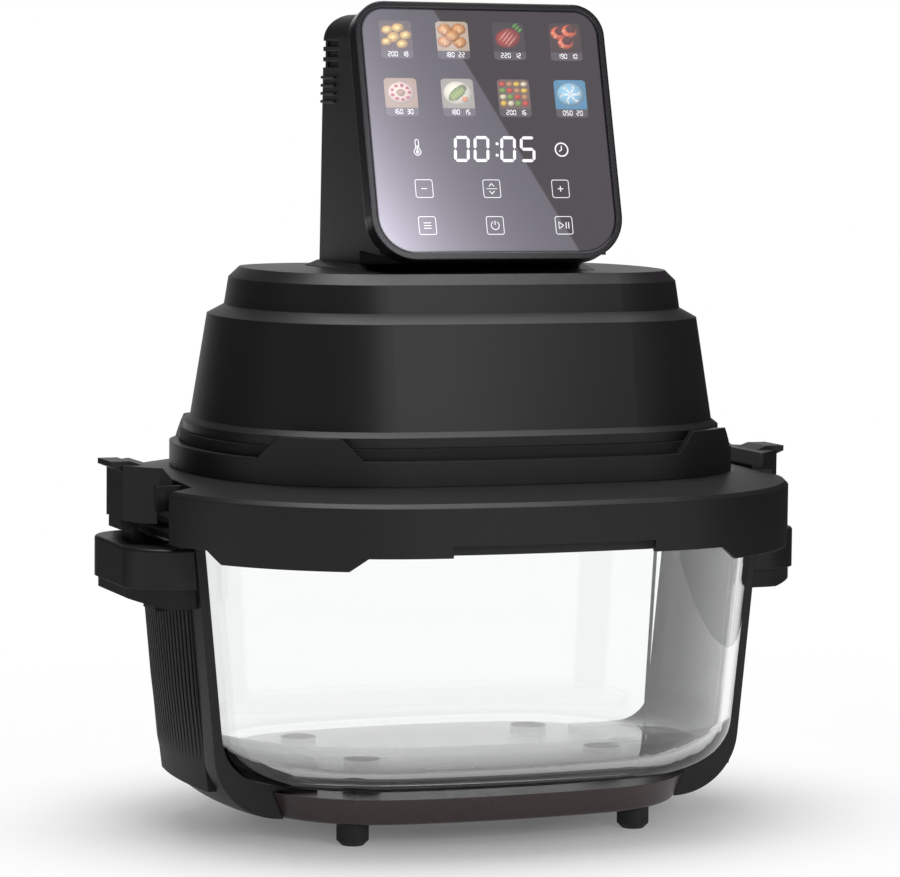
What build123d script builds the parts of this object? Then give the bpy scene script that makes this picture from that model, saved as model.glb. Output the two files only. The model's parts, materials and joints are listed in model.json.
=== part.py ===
from build123d import *
import math
import os

os.makedirs("parts", exist_ok=True)

# Glass air fryer. Millimetres, +Z up, front towards -Y, left towards -X.
# The origin is the middle of the footprint, on the surface that the feet stand on.

# Outlines: each is an oval of four large arcs and four corner arcs, all tangent.
LID_HALF_WIDTH = 162.0
LID_HALF_DEPTH = 139.0
LID_FRONT_RADIUS = 467.0
LID_SIDE_RADIUS = 260.0
LID_CORNER_RADIUS = 114.0
HOUSING_HALF_WIDTH = 126.0
HOUSING_HALF_DEPTH = 93.0
HOUSING_FRONT_RADIUS = 628.0
HOUSING_SIDE_RADIUS = 155.0
HOUSING_CORNER_RADIUS = 69.5

# Clearances
CUT = 1.0
RUNNING_GAP = 0.08
SEAT_GAP = 0.3

# Cradle
FOOT_HEIGHT = 11.0
FOOT_RADIUS = 7.7
FOOT_CHAMFER = 2.4
FOOT_X = 72.0
FOOT_Y = 64.0
TRAY_HEIGHT = 13.0
TRAY_WALL = 3.0
TRAY_INSET = 49.0
TRAY_TAPER = 5.0
PAD_HEIGHT = 4.0
PAD_RADIUS = 9.0
PAD_X = LID_HALF_WIDTH - 100.0
PAD_Y = 48.0
TRAY_SCREW_X = LID_HALF_WIDTH - 70.0
TRAY_SCREW_Y = 22.0
FRAME_GAP = 0.7
FRAME_WALL = 4.3
FRAME_FLOOR = 3.5
FRAME_HALF_DEPTH = 47.8
FRAME_CORNER = 32.0
FRAME_INNER_END = LID_HALF_WIDTH - 78.0
COVER_DEPTH = 2.0
COVER_PROUD = 0.9
COVER_FOOT_SUNK = 0.6
COVER_TAPER_TOP = 70.0
COVER_HALF_DEPTH = 38.0
COVER_INNER_END = 118.0
RIB_COUNT = 17
RIB_GROOVE = 1.9
RIB_DEPTH = 1.1
HANDLE_HALF_DEPTH = 46.0
HANDLE_CORNER = 24.0
HANDLE_WALL = 2.8
HANDLE_COVER_DEPTH = 9.0
HANDLE_COVER_LIP = 1.8
HANDLE_COVER_SLOPE = 14.0
HANDLE_BOSS_HALF = 10.0
HANDLE_BOSS_DEPTH = 5.0
HANDLE_HEIGHT = 19.3
HANDLE_GAP = 2.7
HANDLE_SCREW_INSET = 15.0
HANDLE_SCREW_Y = 30.0
HANDLE_SCREW_BITE = 10.0
CATCH_WALL = 3.0
CATCH_LIP = 1.0
CATCH_HALF = 9.0
CATCH_LIP_HEIGHT = 3.0

# Bowl
BOWL_TAPER = 0.0925
BOWL_INSET = 17.0
BOWL_TOP = 150.0
FLANGE_THICKNESS = 5.0
FLANGE_INSET = 11.0
GLASS_WALL = 5.0
GLASS_BASE = 7.0
BOWL_CORNER = 24.0
GASKET_WALL = 1.5
GASKET_LIP = 4.0
GASKET_TOP = 3.0
GASKET_BOTTOM = 1.8

# Lid: its heights stand on the bowl's rim
SKIRT_WALL = 3.0
SKIRT_MID = BOWL_TOP - 7.0
SKIRT_LOW = SKIRT_MID - 6.0
SKIRT_NOTCH = SKIRT_MID + 5.5
RIM_TOP = BOWL_TOP + 17.7
RIM_ROUND = 2.0
LID_TOP = BOWL_TOP + 22.2
NOTCH_HALF = 50.0
FRONT_RISE_HALF = 88.0
SIDE_RISE_HALF = 74.0
RISE_RUN = 8.0
LID_OPENING_INSET = 11.0
DISH_BOSS_RADIUS = 5.0
DISH_SCREW_SIDE_INSET = 58.0
DISH_SCREW_END_INSET = 47.0
DISH_SCREW_FRONT_INSET = 27.0
DISH_SCREW_LENGTH = 12.0

# Collar and band, as growth from the housing outline
COLLAR_GROWTH = 10.1
COLLAR_WALL = 4.8
COLLAR_TOP = LID_TOP + 22.1
COLLAR_LOW = LID_TOP + 11.8
COLLAR_FRONT_LOW_HALF = 79.0
COLLAR_SIDE_LOW_HALF = 64.0
COLLAR_RUN = 9.5
BAND_GROWTH = 5.0
BAND_WALL = 6.0

# Upper housing: heights and growths of its edges
HOUSING_FOOT = LID_TOP + 17.3
HOUSING_WALL = 2.5
FLARE_GROWTH = 3.3
FLARE_TOP = LID_TOP + 24.7
TIER_TWO_TOP = LID_TOP + 74.0
TIER_TWO_GROWTH = -7.9
TIER_ONE_FOOT = LID_TOP + 78.5
TIER_ONE_FOOT_GROWTH = -16.2
TIER_ONE_TOP = LID_TOP + 91.7
TIER_ONE_GROWTH = -18.3
HOUSING_TOP = LID_TOP + 96.7
HOUSING_TOP_GROWTH = -23.5
CABLE_HOLE_RADIUS = 13.0
CABLE_HOLE_Y = 4.0
HOUSING_SCREW_X = HOUSING_HALF_WIDTH - 26.0
HOUSING_SCREW_Y = HOUSING_HALF_DEPTH - 26.0
HOUSING_SCREW_BITE = 12.0

# Latch, for the left side as seen from the front and mirrored for the right
LATCH_OUT = LID_HALF_WIDTH + 8.3
LATCH_IN = LID_HALF_WIDTH - 12.0
LATCH_TOP = RIM_TOP + 9.3
LATCH_BOTTOM = RIM_TOP - 9.2
LATCH_SKIRT_BOTTOM = RIM_TOP - 17.2
LATCH_SKIRT_IN = LID_HALF_WIDTH - 4.8
LATCH_ARCH = 1.8
LATCH_HALF = 28.0
LATCH_CHAMFER = 14.0
LATCH_WALL = 2.4
LATCH_TOP_BEVEL = 6.0
TAB_FLARE = 5.2
TAB_REACH = LATCH_OUT + TAB_FLARE
TAB_HALF = 11.0
TAB_RISE = 2.0
TAB_THICKNESS = 2.6
TAB_ROOT = LATCH_OUT - 10.3
TONGUE_HALF = 10.0
TONGUE_WALL = 3.0
TONGUE_BOTTOM = RIM_TOP - 21.2
NOSE_HEIGHT = 4.0
PIVOT_X = LID_HALF_WIDTH - 6.0
PIVOT_Z = RIM_TOP - 3.7
PIN_RADIUS = 1.5
KNUCKLE_INNER = 8.0
KNUCKLE_OUTER = 11.0
KNUCKLE_RADIUS = 5.0
SPRING_RADIUS = 3.2
ROD_X = LID_HALF_WIDTH - 6.4
ROD_Z = RIM_TOP - 19.4
ROD_RADIUS = 1.2
POCKET_HALF = 46.7
POCKET_IN = LID_HALF_WIDTH - 15.5
POCKET_FLOOR = RIM_TOP - 10.7
POCKET_WALL = 2.5
POCKET_STEP = LID_HALF_WIDTH - 6.5
LUG_IN = 29.5
LUG_WALL = 2.5
LUG_OUT = LID_HALF_WIDTH - 2.5
LUG_TOP = RIM_TOP + 1.3

# Heating and air
DISH_SHEET = 1.5
CHAMBER_INSET = 12.0
CHAMBER_TOP = BOWL_TOP + 37.0
GUARD_SHEET = 1.5
GUARD_INSET = 3.0
GUARD_SLOT_WIDTH = 4.0
ELEMENT_TUBE = 3.2
ELEMENT_Z = CHAMBER_TOP - 26.0
ELEMENT_RADIUS = 75.0
ELEMENT_SPACING = 14.0
ELEMENT_FIRST_ANGLE = 10.0
ELEMENT_LAST_ANGLE = 30.0
FERRULE_RADIUS = 3.8
BUSH_RADIUS = 6.5
BUSH_HEIGHT = 4.0
CLIP_THICKNESS = 1.2
CLIP_WIDTH = 8.0
SHAFT_RADIUS = 3.0
SHAFT_BOTTOM = CHAMBER_TOP - 22.0
SHAFT_TOP = CHAMBER_TOP + 51.0
SHAFT_HOLE = 6.0
FAN_RADIUS = 54.0
FAN_HUB = 9.0
FAN_BOTTOM = CHAMBER_TOP - 18.0
FAN_PLATE = 1.2
FAN_BLADE_HEIGHT = 11.0
FAN_BLADES = 10
BLADE_THICKNESS = 1.0
NUT_HEIGHT = 3.5
NUT_RADIUS = 6.0
MOTOR_MOUNT_SHEET = 2.0
MOTOR_MOUNT_RADIUS = 44.0
MOTOR_STAND = 5.0
MOTOR_RADIUS = 28.0
MOTOR_HEIGHT = 27.0
MOTOR_BOLT_RADIUS = 22.0
COOLING_RADIUS = 42.0
COOLING_BOTTOM = CHAMBER_TOP + 39.0
COOLING_HEIGHT = 9.0
BOARD_Y = 65.0
BOARD_WIDTH = 60.0
BOARD_DEPTH = 32.0
BOARD_SHEET = 1.6
STANDOFF_HEIGHT = 8.0
STANDOFF_RADIUS = 2.5
THERMOSTAT_X = 62.0
THERMOSTAT_Y = 30.0
THERMOSTAT_RADIUS = 8.0
THERMOSTAT_HEIGHT = 9.0
GLAND_Z = LID_TOP + 41.8
GLAND_RADIUS = 8.0
GLAND_BORE = 3.6
GLAND_REACH = 10.0

# Tower and screen
TOWER_HALF = 57.5
TOWER_BACK_FOOT = 34.5
TOWER_BACK_TOP = 30.0
TOWER_FRONT = -27.0
TOWER_TOP = HOUSING_TOP + 122.1
TOWER_WALL = 2.5
TOWER_ROUND = 3.5
TOWER_CROWN = 14.0
TOWER_SHOULDER = 12.0
TOWER_CREASE = 0.4
TOWER_FLARE = 5.0
TOWER_FLARE_HEIGHT = 3.0
TOWER_SPLIT = 3.0
TOWER_SCREW_X = 42.0
TOWER_SCREW_Y = 12.0
TOWER_SCREW_BITE = 7.0
REAR_SCREW_X = 44.0
REAR_SCREW_LOW = HOUSING_TOP + 21.1
REAR_SCREW_HIGH = HOUSING_TOP + 76.1
REAR_SCREW_BITE = 12.0
RIBBON_Z = HOUSING_TOP + 67.1
VENT_ROWS = 3
VENT_PITCH = 5.0
VENT_HEIGHT = 2.9
VENT_TOP = TOWER_TOP - 12.5
VENT_SIDE_START = 5.6
VENT_SIDE_END = 21.6
VENT_BRIDGE = 2.2
GRIP_START = 9.5
GRIP_RIBS = 4
GRIP_RIB_TOP = TOWER_TOP - 29.5
GRIP_RIB_PITCH = 3.9
GRIP_RIB_HEIGHT = 1.4
GRIP_RIB_PROUD = 1.0
SCREEN_WIDTH = 120.6
SCREEN_LENGTH = 118.9
SCREEN_TILT = 16.0
SCREEN_FOOT_Y = -65.0
SCREEN_FOOT_Z = HOUSING_TOP + 10.1
SCREEN_TOP_CORNER = 12.0
SCREEN_BOTTOM_CORNER = 18.0
SCREEN_THICKNESS = 2.0
SCREEN_GAP = 0.15
BEZEL_RIM = 3.4
BEZEL_DEPTH = 9.0
BEZEL_PROUD = 0.4
BEZEL_BACK = 2.0
BEZEL_LEDGE = 3.5
DISPLAY_BOARD = 1.6
RIBBON_WIDTH = 16.0
RIBBON_THICKNESS = 0.8

# Screws
SCREW_RADIUS = 1.6
SCREW_HEAD_RADIUS = 3.2
SCREW_HEAD_HEIGHT = 1.8

# Heights worked out from the values above
TRAY_BOTTOM = FOOT_HEIGHT
TRAY_TOP = TRAY_BOTTOM + TRAY_HEIGHT
BOWL_BOTTOM = TRAY_TOP + PAD_HEIGHT
FLANGE_BOTTOM = BOWL_TOP - FLANGE_THICKNESS
HEAD_SEAT = BOWL_TOP + GASKET_TOP
FRAME_OUT = FRAME_GAP + FRAME_WALL
FRAME_TOP = SKIRT_MID - 2.0
HANDLE_TOP = SKIRT_MID - HANDLE_GAP
HANDLE_BOTTOM = HANDLE_TOP - HANDLE_HEIGHT
HANDLE_REACH = LID_HALF_WIDTH + 11.0
HANDLE_SCREW_X = HANDLE_REACH - HANDLE_SCREW_INSET
CATCH_INNER = LID_HALF_WIDTH - 1.0
CATCH_TOP = RIM_TOP - 12.2
CHAMBER_HEIGHT = CHAMBER_TOP - HEAD_SEAT
MOTOR_BOTTOM = CHAMBER_TOP + MOTOR_MOUNT_SHEET + MOTOR_STAND
BOARD_BOTTOM = CHAMBER_TOP + STANDOFF_HEIGHT


class Oval:
    """An outline of four large arcs joined by four tangent corner arcs."""

    def __init__(self, half_width, half_depth, front_radius, side_radius, corner_radius):
        self.sizes = (half_width, half_depth, front_radius, side_radius, corner_radius)

    def grown(self, growth):
        """The outline at an even distance outside this one, or inside it when negative."""
        return Oval(*(size + growth for size in self.sizes))

    def corner(self):
        """The corner arc's centre, from the distances that tangency sets to the two large arcs."""
        half_width, half_depth, front, side, corner = self.sizes
        front_y = half_depth - front
        side_x = half_width - side
        to_front = front - corner
        to_side = side - corner
        apart = math.hypot(side_x, front_y)
        along = (to_front**2 - to_side**2 + apart**2) / (2 * apart)
        across = math.sqrt(to_front**2 - along**2)
        base_x = along * side_x / apart
        base_y = front_y - along * front_y / apart
        return base_x + across * abs(front_y) / apart, base_y + across * abs(side_x) / apart

    def wire(self, z):
        """The closed outline at height z."""
        half_width, half_depth, front, side, corner = self.sizes
        centre_x, centre_y = self.corner()
        side_x = half_width - side
        front_y = half_depth - front
        side_turn = math.atan2(centre_y, centre_x - side_x)
        front_turn = math.atan2(centre_y - front_y, centre_x)
        middle_turn = (side_turn + front_turn) / 2
        side_end = (side_x + side * math.cos(side_turn), side * math.sin(side_turn))
        front_end = (front * math.cos(front_turn), front_y + front * math.sin(front_turn))
        corner_mid = (centre_x + corner * math.cos(middle_turn), centre_y + corner * math.sin(middle_turn))
        edges = []
        for sign_x, sign_y in ((1, 1), (-1, 1), (-1, -1), (1, -1)):
            points = [(sign_x * x, sign_y * y, z) for x, y in (side_end, corner_mid, front_end)]
            edges.append(ThreePointArc(*points))
        for sign in (1, -1):
            edges.append(
                ThreePointArc(
                    (sign * side_end[0], -side_end[1], z), (sign * half_width, 0, z), (sign * side_end[0], side_end[1], z)
                )
            )
            edges.append(
                ThreePointArc(
                    (-front_end[0], sign * front_end[1], z),
                    (0, sign * half_depth, z),
                    (front_end[0], sign * front_end[1], z),
                )
            )
        return Wire.combine(edges)[0]


LID = Oval(LID_HALF_WIDTH, LID_HALF_DEPTH, LID_FRONT_RADIUS, LID_SIDE_RADIUS, LID_CORNER_RADIUS)
HOUSING = Oval(
    HOUSING_HALF_WIDTH, HOUSING_HALF_DEPTH, HOUSING_FRONT_RADIUS, HOUSING_SIDE_RADIUS, HOUSING_CORNER_RADIUS
)


def stack(*levels):
    """A solid through outlines at rising heights, each level being (oval, growth, height)."""
    return Solid.make_loft([oval.grown(growth).wire(z) for oval, growth, z in levels], ruled=True)


def prism(oval, growth, bottom, top):
    return stack((oval, growth, bottom), (oval, growth, top))


def block(x0, x1, y0, y1, z0, z1):
    """A box between two corners."""
    return Pos((x0 + x1) / 2, (y0 + y1) / 2, (z0 + z1) / 2) * Box(abs(x1 - x0), abs(y1 - y0), abs(z1 - z0))


def post(x, y, bottom, top, radius):
    return Pos(x, y, (bottom + top) / 2) * Cylinder(radius, top - bottom)


def rod_y(x, z, y0, y1, radius):
    """A round bar along Y."""
    return Pos(x, (y0 + y1) / 2, z) * Rot(90, 0, 0) * Cylinder(radius, y1 - y0)


def slab_xz(points, y0, y1):
    """A flat outline in X and Z, made solid from y0 to y1."""
    face = make_face(Polyline(*[(x, y0, z) for x, z in points], close=True))
    return extrude(face, amount=y1 - y0, dir=(0, 1, 0))


def slab_yz(points, x0, x1):
    """A flat outline in Y and Z, made solid from x0 to x1."""
    face = make_face(Polyline(*[(x0, y, z) for y, z in points], close=True))
    return extrude(face, amount=x1 - x0, dir=(1, 0, 0))


def screw(x, y, head_z, length, up):
    """A screw whose head's flat side is at head_z. Its shank goes up, or down when up is -1."""
    shank = post(x, y, min(head_z, head_z + up * length), max(head_z, head_z + up * length), SCREW_RADIUS)
    head_end = head_z - up * SCREW_HEAD_HEIGHT
    head = post(x, y, min(head_z, head_end), max(head_z, head_end), SCREW_HEAD_RADIUS)
    recess = post(x, y, min(head_end, head_end + up), max(head_end, head_end + up), SCREW_RADIUS)
    return shank + head - recess


def four(x, y):
    """The four places of a piece that is mirrored left to right and front to back."""
    return [(sx * x, sy * y) for sx in (-1, 1) for sy in (-1, 1)]


def solids_of(shape):
    return list(shape.solids())


def group(shapes):
    """Separate solids kept together in one node."""
    return Compound(children=[solid for shape in shapes for solid in solids_of(shape)])


def mirrored(shape):
    """The right-hand copy of a left-hand piece."""
    return mirror(shape, about=Plane.YZ)


def write(shape, name):
    export_step(shape, os.path.join("parts", name + ".step"))


def bowl_growth(z):
    """How far inside the lid outline the bowl's outer face lies at height z."""
    return -(BOWL_INSET + (FLANGE_BOTTOM - z) * BOWL_TAPER)


def bowl_form(growth, bottom, top, corner):
    """The bowl's tapered form, grown evenly, with its rounded lower edge."""
    form = stack((LID, bowl_growth(bottom) + growth, bottom), (LID, bowl_growth(top) + growth, top))
    return fillet(form.edges().group_by(Axis.Z)[0], corner)


# Cradle: tray, feet and pads
def base_tray():
    """An inverted pan with sloping sides and four bosses that carry the feet."""
    outer = stack((LID, -TRAY_INSET - TRAY_TAPER, TRAY_BOTTOM), (LID, -TRAY_INSET, TRAY_TOP))
    outer = fillet(outer.edges().group_by(Axis.Z)[0], TRAY_WALL)
    inner = stack(
        (LID, -TRAY_INSET - TRAY_TAPER - TRAY_WALL, TRAY_BOTTOM - CUT),
        (LID, -TRAY_INSET - TRAY_WALL, TRAY_TOP - TRAY_WALL),
    )
    tray = outer - inner
    for x, y in four(FOOT_X, FOOT_Y):
        boss = post(x, y, TRAY_BOTTOM, TRAY_TOP - TRAY_WALL / 2, FOOT_RADIUS)
        tray = tray + boss - post(x, y, TRAY_BOTTOM - CUT, TRAY_TOP - TRAY_WALL, SCREW_RADIUS)
    for x, y in four(TRAY_SCREW_X, TRAY_SCREW_Y):
        tray = tray - post(x, y, TRAY_BOTTOM, TRAY_TOP + CUT, SCREW_RADIUS)
    return tray


def foot(x, y):
    """A round rubber foot with a chamfered sole and a recess for its screw head."""
    body = post(x, y, 0, FOOT_HEIGHT, FOOT_RADIUS)
    body = chamfer(body.edges().group_by(Axis.Z)[0], FOOT_CHAMFER)
    recess = post(x, y, -CUT, FOOT_HEIGHT / 2, SCREW_HEAD_RADIUS + SEAT_GAP)
    return body - recess - post(x, y, 0, FOOT_HEIGHT + CUT, SCREW_RADIUS)


def foot_screws():
    return group([screw(x, y, FOOT_HEIGHT / 2, FOOT_HEIGHT, 1) for x, y in four(FOOT_X, FOOT_Y)])


def tray_screws():
    length = TRAY_WALL + FRAME_WALL - SCREW_RADIUS / 2
    return group([screw(x, y, TRAY_TOP - TRAY_WALL, length, 1) for x, y in four(TRAY_SCREW_X, TRAY_SCREW_Y)])


def bowl_pads():
    return group([post(x, y, TRAY_TOP, BOWL_BOTTOM, PAD_RADIUS) for x, y in four(PAD_X, PAD_Y)])


# Cradle: side frames, ribbed covers and handles, made for the left
def frame_form(sunk):
    """The frame's outer form, drawn in by the sunk depth. Its large lower corner wraps the tray's side."""
    return bowl_form(FRAME_OUT - sunk, TRAY_BOTTOM, FRAME_TOP, FRAME_CORNER - sunk)


def cover_room(gap):
    """The space on the frame that the ribbed cover fills."""
    half = COVER_HALF_DEPTH + gap
    return block(-HANDLE_REACH, -COVER_INNER_END, -half, half, TRAY_TOP, HANDLE_BOTTOM - HANDLE_COVER_DEPTH)


def side_frame():
    """A band that follows the bowl's side, turns under its base and lies on the tray and round its edge."""
    inner = bowl_form(FRAME_GAP, TRAY_TOP + FRAME_FLOOR, FRAME_TOP + CUT, BOWL_CORNER + FRAME_GAP)
    reach = block(-HANDLE_REACH, -FRAME_INNER_END, -FRAME_HALF_DEPTH, FRAME_HALF_DEPTH, 0, FRAME_TOP)
    frame = (frame_form(0) - inner) & reach
    frame = frame - (cover_room(SEAT_GAP) - frame_form(COVER_DEPTH))
    tray_room = stack(
        (LID, -TRAY_INSET - TRAY_TAPER + SEAT_GAP, TRAY_BOTTOM), (LID, -TRAY_INSET + SEAT_GAP, TRAY_TOP)
    )
    frame = frame - tray_room
    for y in (-TRAY_SCREW_Y, TRAY_SCREW_Y):
        frame = frame - post(-TRAY_SCREW_X, y, TRAY_TOP - CUT, BOWL_BOTTOM, SCREW_RADIUS)
    return frame


def side_cover():
    """A ribbed cover sunk into the side frame, which runs straight down past the frame's curve."""
    bottom = TRAY_TOP
    top = HANDLE_BOTTOM - HANDLE_COVER_DEPTH
    form = stack(
        (LID, bowl_growth(bottom) + FRAME_OUT - COVER_FOOT_SUNK, bottom),
        (LID, bowl_growth(COVER_TAPER_TOP) + FRAME_OUT + COVER_PROUD, COVER_TAPER_TOP),
        (LID, bowl_growth(top) + FRAME_OUT + COVER_PROUD, top),
    )
    cover = (form & cover_room(0)) - frame_form(COVER_DEPTH)
    pitch = 2 * COVER_HALF_DEPTH / RIB_COUNT
    lean = math.degrees(math.atan(BOWL_TAPER))
    middle_z = (bottom + top) / 2
    out_middle = LID_HALF_WIDTH + bowl_growth(middle_z) + FRAME_OUT + COVER_PROUD
    radius = LID_SIDE_RADIUS + bowl_growth(middle_z) + FRAME_OUT + COVER_PROUD
    for index in range(RIB_COUNT):
        y = (index - (RIB_COUNT - 1) / 2) * pitch
        out = out_middle - (radius - math.sqrt(radius**2 - y**2))
        turn = math.degrees(math.asin(y / radius))
        cutter = Box(2 * RIB_DEPTH, RIB_GROOVE, 2 * (top - bottom))
        cover = cover - Pos(-out, y, middle_z) * Rot(0, 0, -turn) * Rot(0, -lean, 0) * cutter
    return cover


def handle_plan(grow, z):
    """The handle's plan: straight sides and two large outer corners, running in under the lid."""
    inner = LID_HALF_WIDTH - BOWL_INSET - HANDLE_CORNER
    outer = HANDLE_REACH + grow
    half = HANDLE_HALF_DEPTH + grow
    corner = HANDLE_CORNER + grow
    turn = corner * (1 - math.sqrt(0.5))
    lines = [
        Line((-inner, -half, z), (-outer + corner, -half, z)),
        ThreePointArc((-outer + corner, -half, z), (-outer + turn, -half + turn, z), (-outer, -half + corner, z)),
        Line((-outer, -half + corner, z), (-outer, half - corner, z)),
        ThreePointArc((-outer, half - corner, z), (-outer + turn, half - turn, z), (-outer + corner, half, z)),
        Line((-outer + corner, half, z), (-inner, half, z)),
        Line((-inner, half, z), (-inner, -half, z)),
    ]
    return make_face(Wire.combine(lines)[0])


def handle():
    """A block handle, hollow from below, with screw bosses. Its inner face follows the side frame."""
    body = extrude(handle_plan(0, HANDLE_BOTTOM), amount=HANDLE_TOP - HANDLE_BOTTOM, dir=(0, 0, 1))
    rim = body.edges().group_by(Axis.Z)[-1].sort_by(Axis.X)[:-1]
    body = fillet(rim, 1.5)
    bowl_side = bowl_form(FRAME_OUT, BOWL_BOTTOM, FLANGE_BOTTOM, BOWL_CORNER)
    depth = HANDLE_TOP - HANDLE_WALL - HANDLE_BOTTOM
    hollow = extrude(handle_plan(-HANDLE_WALL, HANDLE_BOTTOM), amount=depth, dir=(0, 0, 1))
    keep = bowl_form(FRAME_OUT + HANDLE_WALL, BOWL_BOTTOM, FLANGE_BOTTOM, BOWL_CORNER)
    body = body - (hollow - keep) - bowl_side
    for y in (-HANDLE_SCREW_Y, HANDLE_SCREW_Y):
        boss = post(-HANDLE_SCREW_X, y, HANDLE_BOTTOM, HANDLE_TOP - HANDLE_WALL / 2, 2.5 * SCREW_RADIUS)
        body = body + boss - post(-HANDLE_SCREW_X, y, HANDLE_BOTTOM - CUT, HANDLE_TOP - HANDLE_WALL, SCREW_RADIUS)
    return body


def handle_cover():
    """The cover under the handle: inset by a small lip, with a sloping underside and a boss."""
    bottom = HANDLE_BOTTOM - HANDLE_COVER_DEPTH
    plan = handle_plan(-HANDLE_COVER_LIP, bottom)
    body = extrude(plan, amount=HANDLE_COVER_DEPTH, dir=(0, 0, 1))
    out = HANDLE_REACH + CUT
    slope_start = HANDLE_REACH - HANDLE_COVER_LIP - HANDLE_COVER_SLOPE
    slope_points = [
        (-out, bottom - CUT),
        (-slope_start, bottom - CUT),
        (-slope_start, bottom),
        (-out, bottom + HANDLE_COVER_DEPTH / 2),
    ]
    slope = slab_xz(slope_points, -HANDLE_REACH, HANDLE_REACH)
    frame_side = bowl_form(FRAME_OUT, BOWL_BOTTOM, FRAME_TOP, BOWL_CORNER)
    boss_out = HANDLE_REACH - HANDLE_CORNER + 4
    boss_in = boss_out - 16
    boss_foot = bottom - HANDLE_BOSS_DEPTH
    boss = block(-boss_out, -boss_in, -HANDLE_BOSS_HALF, HANDLE_BOSS_HALF, boss_foot, bottom + CUT)
    boss_clear = stack(
        (LID, bowl_growth(boss_foot - CUT) + FRAME_OUT + COVER_PROUD + SEAT_GAP, boss_foot - CUT),
        (LID, bowl_growth(bottom) + FRAME_OUT + COVER_PROUD + SEAT_GAP, bottom),
    )
    body = body - slope + (boss - boss_clear) - frame_side
    for y in (-HANDLE_SCREW_Y, HANDLE_SCREW_Y):
        body = body - post(-HANDLE_SCREW_X, y, bottom - CUT, HANDLE_BOTTOM + CUT, SCREW_RADIUS)
        sink = bottom + HANDLE_COVER_DEPTH / 2
        body = body - post(-HANDLE_SCREW_X, y, bottom - CUT, sink, SCREW_HEAD_RADIUS + SEAT_GAP)
    return body


def handle_screws():
    head = HANDLE_BOTTOM - HANDLE_COVER_DEPTH / 2
    places = [(sx * HANDLE_SCREW_X, sy * HANDLE_SCREW_Y) for sx in (-1, 1) for sy in (-1, 1)]
    return group([screw(x, y, head, HANDLE_COVER_DEPTH / 2 + HANDLE_SCREW_BITE, 1) for x, y in places])


def catch():
    """The post on the handle that the latch's nose holds, with a lip at its top."""
    stem = block(-CATCH_INNER - CATCH_WALL, -CATCH_INNER, -CATCH_HALF, CATCH_HALF, HANDLE_TOP, CATCH_TOP)
    lip_bottom = CATCH_TOP - CATCH_LIP_HEIGHT
    stem = stem + block(
        -CATCH_INNER - CATCH_WALL - CATCH_LIP, -CATCH_INNER, -CATCH_HALF, CATCH_HALF, lip_bottom, CATCH_TOP
    )
    return stem


# Bowl
def glass_bowl():
    """A tapered bowl of thick glass with rounded lower edges and a rim flange."""
    outer = bowl_form(0, BOWL_BOTTOM, BOWL_TOP, BOWL_CORNER)
    flange = prism(LID, -FLANGE_INSET, FLANGE_BOTTOM, BOWL_TOP)
    inner = bowl_form(-GLASS_WALL, BOWL_BOTTOM + GLASS_BASE, BOWL_TOP + CUT, BOWL_CORNER - GLASS_WALL)
    return outer + flange - inner


def rim_gasket():
    """A silicone ring that wraps the rim flange: the head rests on its top face."""
    bottom = FLANGE_BOTTOM - GASKET_BOTTOM
    ring = prism(LID, -FLANGE_INSET + GASKET_WALL, bottom, HEAD_SEAT)
    ring = ring - prism(LID, -FLANGE_INSET, FLANGE_BOTTOM, BOWL_TOP)
    return ring - prism(LID, -FLANGE_INSET - GASKET_LIP, bottom - CUT, HEAD_SEAT + CUT)


# Lid
def rise_points(half, run, low, high):
    """A flat-topped rise with sloping ends, open below."""
    end = half + run
    return [(-end, low), (-half, high), (half, high), (end, low), (end, low - 9), (-end, low - 9)]


def rise_cutter_front(half, run, low, high):
    """Raises the skirt's lower edge over the middle of the front and back, with sloping ends."""
    return slab_xz(rise_points(half, run, low, high), -LID_HALF_DEPTH - CUT, LID_HALF_DEPTH + CUT)


def rise_cutter_side(half, run, low, high):
    return slab_yz(rise_points(half, run, low, high), -LID_HALF_WIDTH - CUT, LID_HALF_WIDTH + CUT)


def latch_pocket(side):
    """Walls of the recess that a latch sits in: floor, inner wall and two cheeks, open below the floor."""
    inner = side * (POCKET_IN - POCKET_WALL)
    out = side * (LID_HALF_WIDTH - 1)
    far = side * LATCH_OUT
    half = POCKET_HALF + POCKET_WALL
    walls = block(inner, out, -half, half, SKIRT_MID, RIM_TOP)
    floor_bottom = POCKET_FLOOR - POCKET_WALL
    seal_side = side * (LID_HALF_WIDTH - FLANGE_INSET)
    walls = walls - block(inner - side, seal_side, -half - CUT, half + CUT, SKIRT_MID - CUT, floor_bottom)
    return walls - block(inner - side, far, -POCKET_HALF, POCKET_HALF, SKIRT_MID - CUT, floor_bottom)


def latch_pocket_hollow(side):
    far = side * LATCH_OUT
    upper = block(side * POCKET_IN, far, -POCKET_HALF, POCKET_HALF, POCKET_FLOOR, LID_TOP + CUT)
    lower = block(side * POCKET_STEP, far, -POCKET_HALF, POCKET_HALF, SKIRT_LOW - CUT, POCKET_FLOOR + CUT)
    return upper + lower


def latch_lugs(side):
    """Two plates on the recess floor that hold the ends of the latch's pivot pin."""
    lugs = []
    for y in (-LUG_IN - LUG_WALL, LUG_IN):
        lug = block(side * (POCKET_IN - CUT), side * LUG_OUT, y, y + LUG_WALL, POCKET_FLOOR - CUT, LUG_TOP)
        lugs.append(lug - block(side * POCKET_STEP, side * (LUG_OUT + CUT), y, y + LUG_WALL, 0, POCKET_FLOOR))
    return lugs[0] + lugs[1]


def dish_screw_places():
    """Four screws at the corners and one at the front and back."""
    corners = four(LID_HALF_WIDTH - DISH_SCREW_SIDE_INSET, LID_HALF_DEPTH - DISH_SCREW_END_INSET)
    front = LID_HALF_DEPTH - DISH_SCREW_FRONT_INSET
    return corners + [(0.0, front), (0.0, -front)]


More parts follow.
